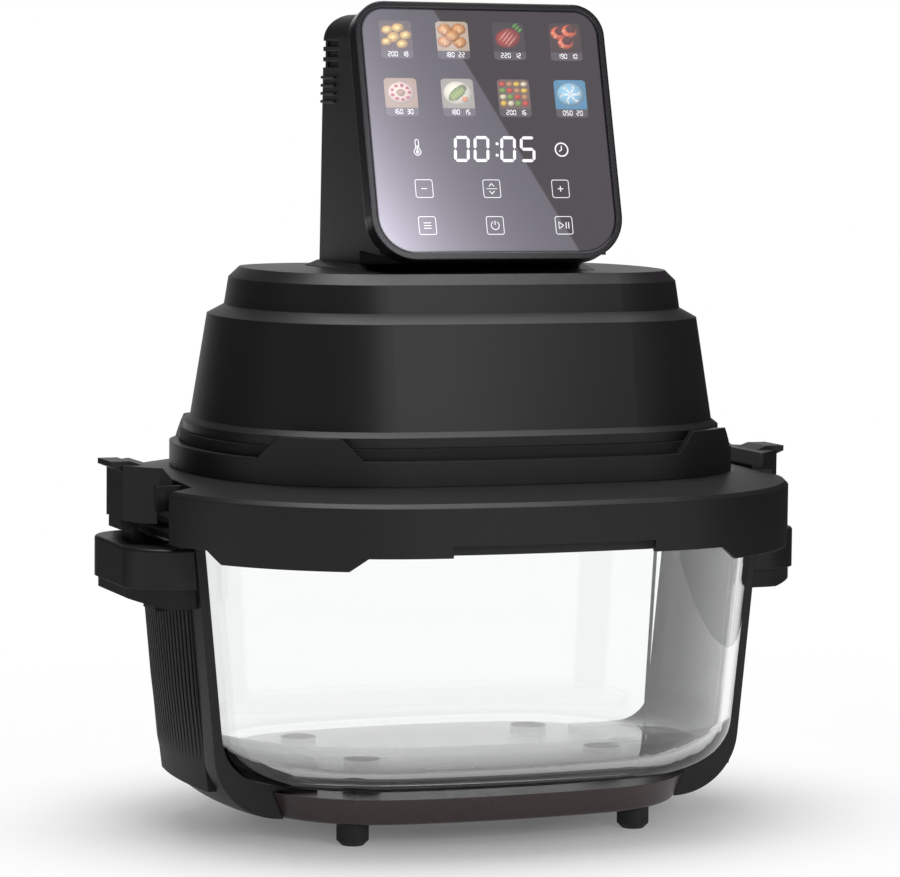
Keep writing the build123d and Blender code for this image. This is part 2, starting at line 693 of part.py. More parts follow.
def lid():
    """The skirt, the sloping top and the two latch pockets, in one moulding."""
    outer = stack(
        (LID, 0, SKIRT_LOW),
        (LID, 0, RIM_TOP - RIM_ROUND),
        (LID, -RIM_ROUND, RIM_TOP),
        (HOUSING, COLLAR_GROWTH + 2, LID_TOP),
    )
    inner = stack(
        (LID, -SKIRT_WALL, SKIRT_LOW - CUT),
        (LID, -SKIRT_WALL, RIM_TOP - RIM_ROUND - SKIRT_WALL / 2),
        (HOUSING, COLLAR_GROWTH + 1, LID_TOP - SKIRT_WALL),
    )
    shell = outer - inner
    for side in (-1, 1):
        shell = shell + (latch_pocket(side) & outer)
        shell = shell - latch_pocket_hollow(side) + latch_lugs(side)
        rod_end = POCKET_HALF + POCKET_WALL
        shell = shell - rod_y(side * PIVOT_X, PIVOT_Z, -LUG_IN - LUG_WALL, LUG_IN + LUG_WALL, PIN_RADIUS)
        shell = shell - rod_y(side * ROD_X, ROD_Z, -rod_end, rod_end, ROD_RADIUS)
    for x, y in dish_screw_places():
        boss = post(x, y, HEAD_SEAT + DISH_SHEET, LID_TOP - SKIRT_WALL / 2, DISH_BOSS_RADIUS)
        shell = shell + (boss & outer) - post(x, y, HEAD_SEAT, LID_TOP - SKIRT_WALL, SCREW_RADIUS)
    shell = shell - prism(HOUSING, -LID_OPENING_INSET, SKIRT_MID, LID_TOP + CUT)
    for x, y in four(HOUSING_SCREW_X, HOUSING_SCREW_Y):
        shell = shell - post(x, y, LID_TOP - 2 * SKIRT_WALL, LID_TOP + CUT, SCREW_RADIUS)
    shell = shell - rise_cutter_front(FRONT_RISE_HALF, RISE_RUN, SKIRT_LOW, SKIRT_MID)
    shell = shell - rise_cutter_side(SIDE_RISE_HALF, RISE_RUN, SKIRT_LOW, SKIRT_MID)
    notch = block(-NOTCH_HALF, NOTCH_HALF, -LID_HALF_DEPTH - CUT, LID_HALF_DEPTH + CUT, SKIRT_LOW - 9, SKIRT_NOTCH)
    clear_pockets = block(-NOTCH_HALF, NOTCH_HALF, -LID_HALF_DEPTH / 2, LID_HALF_DEPTH / 2, SKIRT_LOW - 10, SKIRT_NOTCH + 1)
    return shell - (notch - clear_pockets)


# Collar, band and upper housing
def collar():
    """A ring with raised corners: its top edge dips in the middle of each side."""
    ring = prism(HOUSING, COLLAR_GROWTH, LID_TOP, COLLAR_TOP)
    ring = ring - prism(HOUSING, COLLAR_GROWTH - COLLAR_WALL, LID_TOP - CUT, COLLAR_TOP + CUT)
    top = COLLAR_TOP + CUT
    run = COLLAR_RUN * (top - COLLAR_LOW) / (COLLAR_TOP - COLLAR_LOW)
    for half, cut in ((COLLAR_FRONT_LOW_HALF, slab_xz), (COLLAR_SIDE_LOW_HALF, slab_yz)):
        points = [(-half - run, top), (-half, COLLAR_LOW), (half, COLLAR_LOW), (half + run, top)]
        ring = ring - cut(points, -LID_HALF_WIDTH, LID_HALF_WIDTH)
    return ring


def housing_band():
    """The recessed band between the lid and the upper housing."""
    band = prism(HOUSING, BAND_GROWTH, LID_TOP, HOUSING_FOOT)
    band = band - prism(HOUSING, BAND_GROWTH - BAND_WALL, LID_TOP - CUT, HOUSING_FOOT + CUT)
    for x, y in four(HOUSING_SCREW_X, HOUSING_SCREW_Y):
        band = band + (post(x, y, LID_TOP, HOUSING_FOOT, 5) & prism(HOUSING, BAND_GROWTH, LID_TOP, HOUSING_FOOT))
        band = band - post(x, y, LID_TOP - CUT, HOUSING_FOOT + CUT, SCREW_RADIUS)
    return band


def housing_form(wall, foot):
    """The stepped form, or its inside when wall is more than nothing."""
    return stack(
        (HOUSING, FLARE_GROWTH - wall, foot),
        (HOUSING, FLARE_GROWTH - wall, COLLAR_TOP),
        (HOUSING, -wall, FLARE_TOP),
        (HOUSING, TIER_TWO_GROWTH - wall, TIER_TWO_TOP - wall / 2),
        (HOUSING, TIER_ONE_FOOT_GROWTH - wall, TIER_ONE_FOOT - wall / 2),
        (HOUSING, TIER_ONE_GROWTH - wall, TIER_ONE_TOP - wall / 2),
        (HOUSING, HOUSING_TOP_GROWTH - wall, HOUSING_TOP - wall),
    )


def gland_wall_y():
    """Where the back of tier two stands at the gland's height."""
    share = (GLAND_Z - FLARE_TOP) / (TIER_TWO_TOP - FLARE_TOP)
    return HOUSING_HALF_DEPTH + share * TIER_TWO_GROWTH


def upper_housing():
    """The stepped housing shell, with screw bosses, the cable hole and the cord gland's hole."""
    outer = housing_form(0, HOUSING_FOOT)
    inner = housing_form(HOUSING_WALL, HOUSING_FOOT - CUT)
    shell = outer - inner
    for x, y in four(HOUSING_SCREW_X, HOUSING_SCREW_Y):
        boss = post(x, y, HOUSING_FOOT, HOUSING_FOOT + 20, 4) & outer
        shell = shell + boss - post(x, y, HOUSING_FOOT - CUT, HOUSING_FOOT + 14, SCREW_RADIUS)
    shell = shell - post(0, CABLE_HOLE_Y, HOUSING_TOP - 3 * HOUSING_WALL, HOUSING_TOP + CUT, CABLE_HOLE_RADIUS)
    for x, y in four(TOWER_SCREW_X, TOWER_SCREW_Y):
        shell = shell - post(x, y, HOUSING_TOP - 3 * HOUSING_WALL, HOUSING_TOP + CUT, SCREW_RADIUS)
    wall_y = gland_wall_y()
    return shell - rod_y(0, GLAND_Z, wall_y - 3 * HOUSING_WALL, wall_y + HOUSING_WALL, GLAND_RADIUS - 2)


def housing_screws():
    """Screws up through the lid's top and the band into the upper housing."""
    head = LID_TOP - SKIRT_WALL
    length = HOUSING_FOOT - head + HOUSING_SCREW_BITE
    return group([screw(x, y, head, length, 1) for x, y in four(HOUSING_SCREW_X, HOUSING_SCREW_Y)])


def cord_gland():
    """The bush in the housing's back wall that a mains cord passes through."""
    wall_y = gland_wall_y()
    neck = rod_y(0, GLAND_Z, wall_y - 2 * HOUSING_WALL, wall_y + HOUSING_WALL, GLAND_RADIUS - 2)
    collar_outer = rod_y(0, GLAND_Z, wall_y - 1, wall_y + GLAND_REACH, GLAND_RADIUS) - housing_form(0, HOUSING_FOOT)
    nut = rod_y(0, GLAND_Z, wall_y - 3 * HOUSING_WALL, wall_y - 1.7 * HOUSING_WALL, GLAND_RADIUS)
    body = neck + collar_outer + nut
    return body - rod_y(0, GLAND_Z, wall_y - 20, wall_y + GLAND_REACH + CUT, GLAND_BORE)


# Heating and air
def heat_dish():
    """A sheet-metal dish: a flange on the bowl's gasket and a chamber for the element and fan."""
    flange = prism(LID, -FLANGE_INSET + GASKET_WALL - SEAT_GAP, HEAD_SEAT, HEAD_SEAT + DISH_SHEET)
    chamber = prism(HOUSING, -CHAMBER_INSET, HEAD_SEAT, CHAMBER_TOP)
    inside = prism(HOUSING, -CHAMBER_INSET - DISH_SHEET, HEAD_SEAT - CUT, CHAMBER_TOP - DISH_SHEET)
    dish = flange + chamber - inside
    dish = dish - post(0, 0, CHAMBER_TOP - 2 * DISH_SHEET, CHAMBER_TOP + CUT, SHAFT_HOLE)
    for x, y in element_ends():
        dish = dish - post(x, y, CHAMBER_TOP - 2 * DISH_SHEET, CHAMBER_TOP + CUT, FERRULE_RADIUS)
    for x, y in dish_screw_places():
        dish = dish - post(x, y, HEAD_SEAT - CUT, HEAD_SEAT + DISH_SHEET + CUT, SCREW_RADIUS)
    return dish


def dish_screws():
    """Screws with thin heads, sunk beside the gasket's seat."""
    return group([screw(x, y, HEAD_SEAT, DISH_SCREW_LENGTH, 1) for x, y in dish_screw_places()])


def fan_guard():
    """A pierced plate under the element: rings of slots."""
    top = HEAD_SEAT
    plate = prism(HOUSING, -GUARD_INSET, top - GUARD_SHEET, top)
    cutters = []
    for ring_radius, count, length in ((22, 8, 12), (40, 14, 13), (58, 20, 14), (76, 26, 14)):
        for index in range(count):
            turn = 360 * index / count
            slot = Rot(0, 0, turn) * Pos(ring_radius, 0) * SlotOverall(length, GUARD_SLOT_WIDTH)
            cutters.append(slot)
    for sign in (-1, 1):
        for row in range(-5, 6):
            cutters.append(Pos(sign * (HOUSING_HALF_WIDTH - 28), row * 8) * SlotOverall(16, GUARD_SLOT_WIDTH))
    cutter = extrude(Pos(0, 0, top - GUARD_SHEET - CUT) * Sketch(children=cutters), amount=GUARD_SHEET + 2 * CUT)
    return plate - cutter


def polar(radius, turn):
    return radius * math.cos(math.radians(turn)), radius * math.sin(math.radians(turn))


def element_ends():
    """Where the element's two ends turn up through the dish."""
    return [polar(ELEMENT_RADIUS, ELEMENT_FIRST_ANGLE), polar(ELEMENT_RADIUS - ELEMENT_SPACING, ELEMENT_LAST_ANGLE)]


def element_arc(radius, start, end):
    places = [polar(radius, turn) for turn in (start, (start + end) / 2, end)]
    return ThreePointArc(*[(x, y, ELEMENT_Z) for x, y in places])


def heating_element():
    """One tube bent into two rings, with a ferrule on each end up through the dish."""
    inner = ELEMENT_RADIUS - ELEMENT_SPACING
    last = 360 - ELEMENT_FIRST_ANGLE - 2
    out_x, out_y = polar(ELEMENT_RADIUS, last)
    in_x, in_y = polar(inner, last)
    mid_x, mid_y = polar(ELEMENT_RADIUS - ELEMENT_SPACING / 2, last)
    step_x, step_y = polar(ELEMENT_SPACING / 2, last + 90)
    turn_in = ThreePointArc(
        (out_x, out_y, ELEMENT_Z), (mid_x + step_x, mid_y + step_y, ELEMENT_Z), (in_x, in_y, ELEMENT_Z)
    )
    path = Wire(
        [element_arc(ELEMENT_RADIUS, ELEMENT_FIRST_ANGLE, last), turn_in, element_arc(inner, last, ELEMENT_LAST_ANGLE)]
    )
    start_x, start_y = polar(ELEMENT_RADIUS, ELEMENT_FIRST_ANGLE)
    heading = polar(1, ELEMENT_FIRST_ANGLE + 90)
    profile = Plane(origin=(start_x, start_y, ELEMENT_Z), z_dir=(heading[0], heading[1], 0)) * Circle(ELEMENT_TUBE)
    element = sweep(profile, path=path)
    for x, y in element_ends():
        element = element + post(x, y, ELEMENT_Z - FERRULE_RADIUS, CHAMBER_TOP + BUSH_HEIGHT + 6, FERRULE_RADIUS)
    return element


def terminal_bushes():
    """Ceramic rings round the element's ends, on top of the dish."""
    bushes = []
    for x, y in element_ends():
        ring = post(x, y, CHAMBER_TOP, CHAMBER_TOP + BUSH_HEIGHT, BUSH_RADIUS)
        bushes.append(ring - post(x, y, CHAMBER_TOP - CUT, CHAMBER_TOP + BUSH_HEIGHT + CUT, FERRULE_RADIUS))
    return group(bushes)


def element_clips():
    """Three sheet straps that hang from the dish and hold the outer ring."""
    clips = []
    radius = ELEMENT_RADIUS
    for turn in (45, 180, 315):
        inner = radius - ELEMENT_TUBE - CLIP_THICKNESS
        outer = radius + ELEMENT_TUBE + CLIP_THICKNESS
        half = CLIP_WIDTH / 2
        cradle_box = block(inner, outer, -half, half, ELEMENT_Z - ELEMENT_TUBE - CLIP_THICKNESS, ELEMENT_Z)
        cradle_box = cradle_box - Pos(0, 0, ELEMENT_Z) * Torus(radius, ELEMENT_TUBE + 0.02)
        cradle_box = cradle_box - block(
            radius - ELEMENT_TUBE - 0.02, radius + ELEMENT_TUBE + 0.02, -half - CUT, half + CUT, ELEMENT_Z - CUT, ELEMENT_Z + CUT
        )
        strap = block(radius + ELEMENT_TUBE + 0.02, outer, -half, half, ELEMENT_Z - CUT, CHAMBER_TOP - DISH_SHEET)
        foot_plate = block(outer, outer + CLIP_WIDTH, -half, half, CHAMBER_TOP - DISH_SHEET - CLIP_THICKNESS, CHAMBER_TOP - DISH_SHEET)
        clips.append(Rot(0, 0, turn) * (cradle_box + strap + foot_plate))
    return group([max(clip.solids(), key=lambda solid: solid.volume) for clip in clips])


def thermostat():
    body = post(-THERMOSTAT_X, THERMOSTAT_Y, CHAMBER_TOP, CHAMBER_TOP + THERMOSTAT_HEIGHT, THERMOSTAT_RADIUS)
    ears = block(
        -THERMOSTAT_X - 14, -THERMOSTAT_X + 14, THERMOSTAT_Y - 3, THERMOSTAT_Y + 3, CHAMBER_TOP, CHAMBER_TOP + DISH_SHEET
    )
    return body + ears


def blades(radius, hub, bottom, height, count, lean):
    """Straight blades set at an angle to the radius, as one shape."""
    shape = None
    for index in range(count):
        blade = Pos((radius + hub) / 2, 0, bottom + height / 2) * Box(radius - hub, BLADE_THICKNESS, height)
        blade = Rot(0, 0, 360 * index / count) * (Pos(hub, 0, 0) * Rot(0, 0, lean) * Pos(-hub, 0, 0) * blade)
        shape = blade if shape is None else shape + blade
    return shape


def circulation_fan():
    """A sheet-metal impeller: hub, back plate and upright blades below it."""
    plate_bottom = FAN_BOTTOM + FAN_BLADE_HEIGHT
    fan = post(0, 0, FAN_BOTTOM + 1, plate_bottom + FAN_PLATE, FAN_HUB)
    fan = fan + post(0, 0, plate_bottom, plate_bottom + FAN_PLATE, FAN_RADIUS * 0.86)
    fan = fan + blades(FAN_RADIUS, FAN_HUB - 2, FAN_BOTTOM, FAN_BLADE_HEIGHT + FAN_PLATE / 2, FAN_BLADES, 18)
    return fan - post(0, 0, FAN_BOTTOM - CUT, plate_bottom + 2 * FAN_PLATE + CUT, SHAFT_RADIUS)


def cooling_fan():
    """The smaller fan on the shaft's upper end, which draws air past the motor."""
    fan = post(0, 0, COOLING_BOTTOM, COOLING_BOTTOM + COOLING_HEIGHT, FAN_HUB)
    fan = fan + post(0, 0, COOLING_BOTTOM, COOLING_BOTTOM + FAN_PLATE, COOLING_RADIUS * 0.7)
    fan = fan + blades(COOLING_RADIUS, FAN_HUB - 2, COOLING_BOTTOM, COOLING_HEIGHT - 1, 8, -20)
    return fan - post(0, 0, COOLING_BOTTOM - CUT, COOLING_BOTTOM + COOLING_HEIGHT + CUT, SHAFT_RADIUS)


def motor_shaft():
    """The shaft through the motor, with a shoulder over the circulation fan."""
    shoulder = FAN_BOTTOM + FAN_BLADE_HEIGHT + FAN_PLATE
    return post(0, 0, SHAFT_BOTTOM, SHAFT_TOP, SHAFT_RADIUS) + post(0, 0, shoulder, shoulder + 2, SHAFT_RADIUS + 1.5)


def fan_nut():
    """The nut that holds the circulation fan against the shaft's shoulder."""
    top = FAN_BOTTOM + 1
    nut = extrude(Pos(0, 0, top - NUT_HEIGHT) * RegularPolygon(NUT_RADIUS, 6), amount=NUT_HEIGHT)
    return nut - post(0, 0, top - NUT_HEIGHT - CUT, top + CUT, SHAFT_RADIUS)


def motor_mount():
    """A disc on the dish with four standoffs for the motor."""
    top = CHAMBER_TOP + MOTOR_MOUNT_SHEET
    plate = post(0, 0, CHAMBER_TOP, top, MOTOR_MOUNT_RADIUS)
    for turn in (45, 135, 225, 315):
        x = MOTOR_BOLT_RADIUS * math.cos(math.radians(turn))
        y = MOTOR_BOLT_RADIUS * math.sin(math.radians(turn))
        plate = plate + post(x, y, top, MOTOR_BOTTOM, 4) - post(x, y, CHAMBER_TOP - CUT, MOTOR_BOTTOM + CUT, SCREW_RADIUS)
        plate = plate - post(x, y, CHAMBER_TOP - CUT, CHAMBER_TOP + SCREW_HEAD_HEIGHT, SCREW_HEAD_RADIUS + SEAT_GAP)
    return plate - post(0, 0, CHAMBER_TOP - CUT, top + CUT, SHAFT_HOLE)


def motor():
    """The motor's can with rounded edges, end bells and its shaft bore."""
    can = post(0, 0, MOTOR_BOTTOM, MOTOR_BOTTOM + MOTOR_HEIGHT, MOTOR_RADIUS)
    can = fillet(can.edges(), 2.5)
    bells = post(0, 0, MOTOR_BOTTOM - 3, MOTOR_BOTTOM + MOTOR_HEIGHT + 3, 9)
    body = can + bells
    for turn in (45, 135, 225, 315):
        x = MOTOR_BOLT_RADIUS * math.cos(math.radians(turn))
        y = MOTOR_BOLT_RADIUS * math.sin(math.radians(turn))
        body = body - post(x, y, MOTOR_BOTTOM - CUT, MOTOR_BOTTOM + 7, SCREW_RADIUS)
    return body - post(0, 0, MOTOR_BOTTOM - 4, MOTOR_BOTTOM + MOTOR_HEIGHT + 4, SHAFT_RADIUS + RUNNING_GAP)


def motor_screws():
    screws = []
    for turn in (45, 135, 225, 315):
        x = MOTOR_BOLT_RADIUS * math.cos(math.radians(turn))
        y = MOTOR_BOLT_RADIUS * math.sin(math.radians(turn))
        screws.append(screw(x, y, CHAMBER_TOP + SCREW_HEAD_HEIGHT, MOTOR_BOTTOM - CHAMBER_TOP + 4, 1))
    return group(screws)


def board_places():
    return [(sx * (BOARD_WIDTH / 2 - 5), BOARD_Y + sy * (BOARD_DEPTH / 2 - 4)) for sx in (-1, 1) for sy in (-1, 1)]


def power_board():
    """The supply board with a relay, a transformer, a capacitor and the ribbon's socket."""
    top = BOARD_BOTTOM + BOARD_SHEET
    half_width = BOARD_WIDTH / 2
    half_depth = BOARD_DEPTH / 2
    board = block(-half_width, half_width, BOARD_Y - half_depth, BOARD_Y + half_depth, BOARD_BOTTOM, top)
    board = board + block(-24, -10, BOARD_Y - 8, BOARD_Y + 8, top, top + 14)
    board = board + block(10, 24, BOARD_Y - 4, BOARD_Y + 10, top, top + 11)
    board = board + post(-2, BOARD_Y + 8, top, top + 12, 4)
    board = board + block(-RIBBON_WIDTH / 2 - 1, RIBBON_WIDTH / 2 + 1, BOARD_Y - 12, BOARD_Y - 8, top, top + 4)
    for x, y in board_places():
        board = board - post(x, y, BOARD_BOTTOM - CUT, top + CUT, SCREW_RADIUS)
    return board


def board_standoffs():
    """Posts that carry the board, each with a pin through the board."""
    posts = []
    for x, y in board_places():
        body = post(x, y, CHAMBER_TOP, BOARD_BOTTOM, STANDOFF_RADIUS)
        posts.append(body + post(x, y, BOARD_BOTTOM, BOARD_BOTTOM + BOARD_SHEET + 1.5, SCREW_RADIUS))
    return group(posts)


# Tower and screen
def screen_place(along, behind):
    """Y and Z of a point up the screen's face from its foot, and behind its front."""
    lean = math.radians(SCREEN_TILT)
    y = SCREEN_FOOT_Y + along * math.sin(lean) + behind * math.cos(lean)
    z = SCREEN_FOOT_Z + along * math.cos(lean) - behind * math.sin(lean)
    return y, z


def screen_slab(grow, front, back, grow_corners=None):
    """A plate with the screen's outline, between two depths behind the glass's front face."""
    corner_growth = grow if grow_corners is None else grow_corners
    half = SCREEN_WIDTH / 2 + grow
    low = -grow
    high = SCREEN_LENGTH + grow
    top_round = max(SCREEN_TOP_CORNER + corner_growth, 1)
    foot_round = max(SCREEN_BOTTOM_CORNER + corner_growth, 1)
    frame = Plane(origin=(0, SCREEN_FOOT_Y, SCREEN_FOOT_Z), x_dir=(1, 0, 0), z_dir=screen_normal())
    outline = Polyline((-half, low), (half, low), (half, high), (-half, high), close=True)
    face = make_face(outline)
    face = fillet(face.vertices().sort_by(Axis.Y)[-2:], top_round)
    face = fillet(face.vertices().filter_by_position(Axis.Y, low - 0.01, low + 0.01), foot_round)
    plate = extrude(face, amount=back - front, dir=(0, 0, -1))
    return frame * Pos(0, 0, -front) * plate


def screen_normal():
    lean = math.radians(SCREEN_TILT)
    return (0, -math.cos(lean), math.sin(lean))


def tower_profile(wall):
    """The tower's outline seen from the side, drawn inwards by the wall."""
    top = TOWER_TOP - wall
    front_top = screen_place(SCREEN_LENGTH + BEZEL_RIM - 4 - wall, BEZEL_DEPTH + wall)
    front_foot = screen_place(-BEZEL_RIM + 4 + wall, BEZEL_DEPTH + wall)
    front = TOWER_FRONT + wall
    return [
        (TOWER_BACK_FOOT - wall, HOUSING_TOP),
        (TOWER_BACK_TOP - wall, top),
        (front_top[0], top),
        (front_top[0], min(front_top[1], top - 0.1)),
        front_foot,
        (front, front_foot[1] + 1.5),
        (front, HOUSING_TOP),
    ]


def tower_form(wall):
    """The tower's side outline with a rounded crown, met by its front outline with round shoulders."""
    half = TOWER_HALF - wall
    top = TOWER_TOP - wall
    body = slab_yz(tower_profile(wall), -half, half)
    crown = body.edges().filter_by(Axis.X).sort_by(lambda edge: edge.center().Y + edge.center().Z)[-1]
    body = fillet(crown, TOWER_CROWN - wall)
    crest = top + TOWER_CREASE
    shoulders = block(-half, half, 2 * SCREEN_FOOT_Y, 2 * TOWER_BACK_FOOT, HOUSING_TOP, crest)
    ends = shoulders.edges().filter_by(Axis.Y).group_by(Axis.Z)[-1]
    body = body & fillet(ends, TOWER_SHOULDER - wall)
    upright = []
    for edge in body.edges():
        middle = edge.center()
        if abs(middle.X) > half - 0.1 and middle.Y > TOWER_BACK_TOP - wall - 1 and edge.length > 50:
            upright.append(edge)
    return fillet(upright, TOWER_ROUND - wall) if TOWER_ROUND > wall else body


def tower_shell():
    """The whole tower as a thin shell with a flared foot, before it is split in two."""
    outer = tower_form(0)
    flare = slab_yz(
        [
            (TOWER_BACK_FOOT + TOWER_FLARE, HOUSING_TOP),
            (TOWER_BACK_FOOT, HOUSING_TOP + TOWER_FLARE_HEIGHT),
            (TOWER_FRONT, HOUSING_TOP + TOWER_FLARE_HEIGHT),
            (TOWER_FRONT - TOWER_FLARE, HOUSING_TOP),
        ],
        -TOWER_HALF - TOWER_FLARE,
        TOWER_HALF + TOWER_FLARE,
    )
    side_cut = slab_xz(
        [
            (TOWER_HALF, HOUSING_TOP + TOWER_FLARE_HEIGHT),
            (TOWER_HALF + TOWER_FLARE, HOUSING_TOP),
            (TOWER_HALF + 2 * TOWER_FLARE, HOUSING_TOP),
            (TOWER_HALF + 2 * TOWER_FLARE, HOUSING_TOP + 2 * TOWER_FLARE_HEIGHT),
            (TOWER_HALF, HOUSING_TOP + 2 * TOWER_FLARE_HEIGHT),
        ],
        -2 * TOWER_BACK_FOOT,
        2 * TOWER_BACK_FOOT,
    )
    flare = flare - side_cut - mirrored(side_cut)
    return outer + flare - tower_form(TOWER_WALL)


def split_block(front_side):
    """Everything in front of the tower's split, or behind it above the foot."""
    low = HOUSING_TOP + TOWER_FLARE_HEIGHT
    rear = block(-2 * TOWER_HALF, 2 * TOWER_HALF, TOWER_SPLIT, 3 * TOWER_BACK_FOOT, low, TOWER_TOP + CUT)
    if not front_side:
        return rear
    whole = block(-2 * TOWER_HALF, 2 * TOWER_HALF, 3 * SCREEN_FOOT_Y, 3 * TOWER_BACK_FOOT, HOUSING_TOP - CUT, TOWER_TOP + CUT)
    return whole - rear


def rear_screw_places():
    return [(sx * REAR_SCREW_X, z) for sx in (-1, 1) for z in (REAR_SCREW_LOW, REAR_SCREW_HIGH)]


def tower_column():
    """The front shell of the tower, with bosses for the rear cover and a floor bolted to the housing."""
    column = tower_shell() & split_block(True)
    floor = block(-TOWER_HALF + 1, TOWER_HALF - 1, TOWER_FRONT + 1, TOWER_BACK_FOOT - 1, HOUSING_TOP, HOUSING_TOP + 2)
    column = column + (floor & tower_form(0))
    column = column - post(0, CABLE_HOLE_Y, HOUSING_TOP - CUT, HOUSING_TOP + 3, CABLE_HOLE_RADIUS)
    for x, y in four(TOWER_SCREW_X, TOWER_SCREW_Y):
        column = column + post(x, y, HOUSING_TOP + 1, HOUSING_TOP + 9, 4)
        column = column - post(x, y, HOUSING_TOP - CUT, HOUSING_TOP + 8, SCREW_RADIUS)
    for x, z in rear_screw_places():
        start = TOWER_SPLIT - REAR_SCREW_BITE - 4
        web = block(x, math.copysign(TOWER_HALF - 1, x), start, TOWER_SPLIT, z - 1.5, z + 1.5)
        column = column + rod_y(x, z, start, TOWER_SPLIT, 4) + web
        column = column - rod_y(x, z, start + 2, TOWER_SPLIT + CUT, SCREW_RADIUS)
    return column - ribbon_window()


def ribbon_window():
    """The slot through the tower's front and the bezel's back that the ribbon passes through."""
    y, z = screen_place(SCREEN_LENGTH / 2, 0)
    half = RIBBON_WIDTH / 2 + 1.5
    reach = BEZEL_DEPTH / math.cos(math.radians(SCREEN_TILT)) + 8
    return block(-half, half, y + BEZEL_BACK + 2 * DISPLAY_BOARD, y + reach, RIBBON_Z - 3, RIBBON_Z + 3)


def tower_rear_cover():
    """The rear shell, with rows of vent slots that run round its corners and small ribs under them."""
    cover = tower_shell() & split_block(False)
    for x, z in rear_screw_places():
        back_y = tower_back_at(z)
        pillar = rod_y(x, z, TOWER_SPLIT, back_y - 1, 4) & tower_form(0)
        cover = cover + pillar - rod_y(x, z, TOWER_SPLIT - CUT, back_y + CUT, SCREW_RADIUS)
        cover = cover - rod_y(x, z, back_y - SCREW_HEAD_HEIGHT, back_y + CUT, SCREW_HEAD_RADIUS + SEAT_GAP)
    for row in range(VENT_ROWS):
        z = VENT_TOP - row * VENT_PITCH
        back = TOWER_BACK_FOOT + CUT
        side = TOWER_HALF + CUT
        corner_start = VENT_SIDE_END + VENT_BRIDGE
        for x0, x1 in ((-34, -20), (-16, -2), (2, 16), (20, 34)):
            cover = cover - block(x0, x1, corner_start, back, z - VENT_HEIGHT, z)
        for sign in (-1, 1):
            inside = sign * (TOWER_HALF - 2 * TOWER_WALL)
            cover = cover - block(inside, sign * side, VENT_SIDE_START, VENT_SIDE_END, z - VENT_HEIGHT, z)
            cover = cover - block(sign * 38, sign * side, corner_start, back, z - VENT_HEIGHT, z)
    for row in range(GRIP_RIBS):
        z = GRIP_RIB_TOP - row * GRIP_RIB_PITCH
        out = TOWER_HALF + GRIP_RIB_PROUD
        band = block(-out, out, GRIP_START, 2 * TOWER_BACK_FOOT, z - GRIP_RIB_HEIGHT, z)
        cover = cover + ((band & grip_form()) - tower_form(TOWER_WALL / 2))
    return cover


def tower_back_at(z):
    """Where the tower's back stands at height z."""
    share = (z - HOUSING_TOP) / (TOWER_TOP - HOUSING_TOP)
    return TOWER_BACK_FOOT + share * (TOWER_BACK_TOP - TOWER_BACK_FOOT)


def grip_form():
    """The tower's outline grown a little, which the small ribs stand out to."""
    return tower_form(-GRIP_RIB_PROUD)


def rear_cover_screws():
    screws = []
    for x, z in rear_screw_places():
        back_y = tower_back_at(z)
        seat = back_y - SCREW_HEAD_HEIGHT
        body = rod_y(x, z, TOWER_SPLIT - REAR_SCREW_BITE, seat, SCREW_RADIUS)
        body = body + rod_y(x, z, seat, seat + SCREW_HEAD_HEIGHT - 0.4, SCREW_HEAD_RADIUS)
        screws.append(body - rod_y(x, z, seat + 0.6, seat + SCREW_HEAD_HEIGHT, SCREW_RADIUS * 0.8))
    return group(screws)


def tower_screws():
    """Screws up through the housing's top into the tower's floor."""
    head = HOUSING_TOP - HOUSING_WALL
    length = HOUSING_WALL + TOWER_SCREW_BITE
    return group([screw(x, y, head, length, 1) for x, y in four(TOWER_SCREW_X, TOWER_SCREW_Y)])


def screen_bezel():
    """The frame round the glass, with a ledge that the glass and its board rest on."""
    body = screen_slab(BEZEL_RIM, -BEZEL_PROUD, BEZEL_DEPTH)
    body = body - screen_slab(SCREEN_GAP, -BEZEL_PROUD - CUT, SCREEN_THICKNESS)
    body = body - screen_slab(-BEZEL_LEDGE, SCREEN_THICKNESS - CUT, BEZEL_DEPTH - BEZEL_BACK, -BEZEL_LEDGE)
    return body - ribbon_window()


def touch_glass():
    return screen_slab(0, 0, SCREEN_THICKNESS)


def display_board():
    """The board behind the glass that holds the digits and the key sensors."""
    return screen_slab(-BEZEL_LEDGE - SEAT_GAP, SCREEN_THICKNESS, SCREEN_THICKNESS + DISPLAY_BOARD)


def ribbon_cable():
    """The flat cable from the power board, through the housing's top, to the display board."""
    board_top = BOARD_BOTTOM + BOARD_SHEET + 4
    lean = math.tan(math.radians(SCREEN_TILT))
    face_y = SCREEN_FOOT_Y + (RIBBON_Z - SCREEN_FOOT_Z) * lean
    board_back = face_y + (SCREEN_THICKNESS + DISPLAY_BOARD) / math.cos(math.radians(SCREEN_TILT))
    points = [
        (BOARD_Y - 10, board_top),
        (BOARD_Y - 10, HOUSING_TOP - 12),
        (CABLE_HOLE_Y, HOUSING_TOP - 12),
        (CABLE_HOLE_Y, RIBBON_Z),
        (board_back + 0.2, RIBBON_Z),
    ]
    half = RIBBON_THICKNESS / 2
    cable = None
    for (y0, z0), (y1, z1) in zip(points, points[1:]):
        thick_y = half if z0 != z1 else 0
        thick_z = half if y0 != y1 else 0
        low_y = min(y0, y1) - thick_y
        high_y = max(y0, y1) + thick_y
        low_z = min(z0, z1) - thick_z
        high_z = max(z0, z1) + thick_z
        run = block(-RIBBON_WIDTH / 2, RIBBON_WIDTH / 2, low_y, high_y, low_z, high_z)
        cable = run if cable is None else cable + run
    return cable


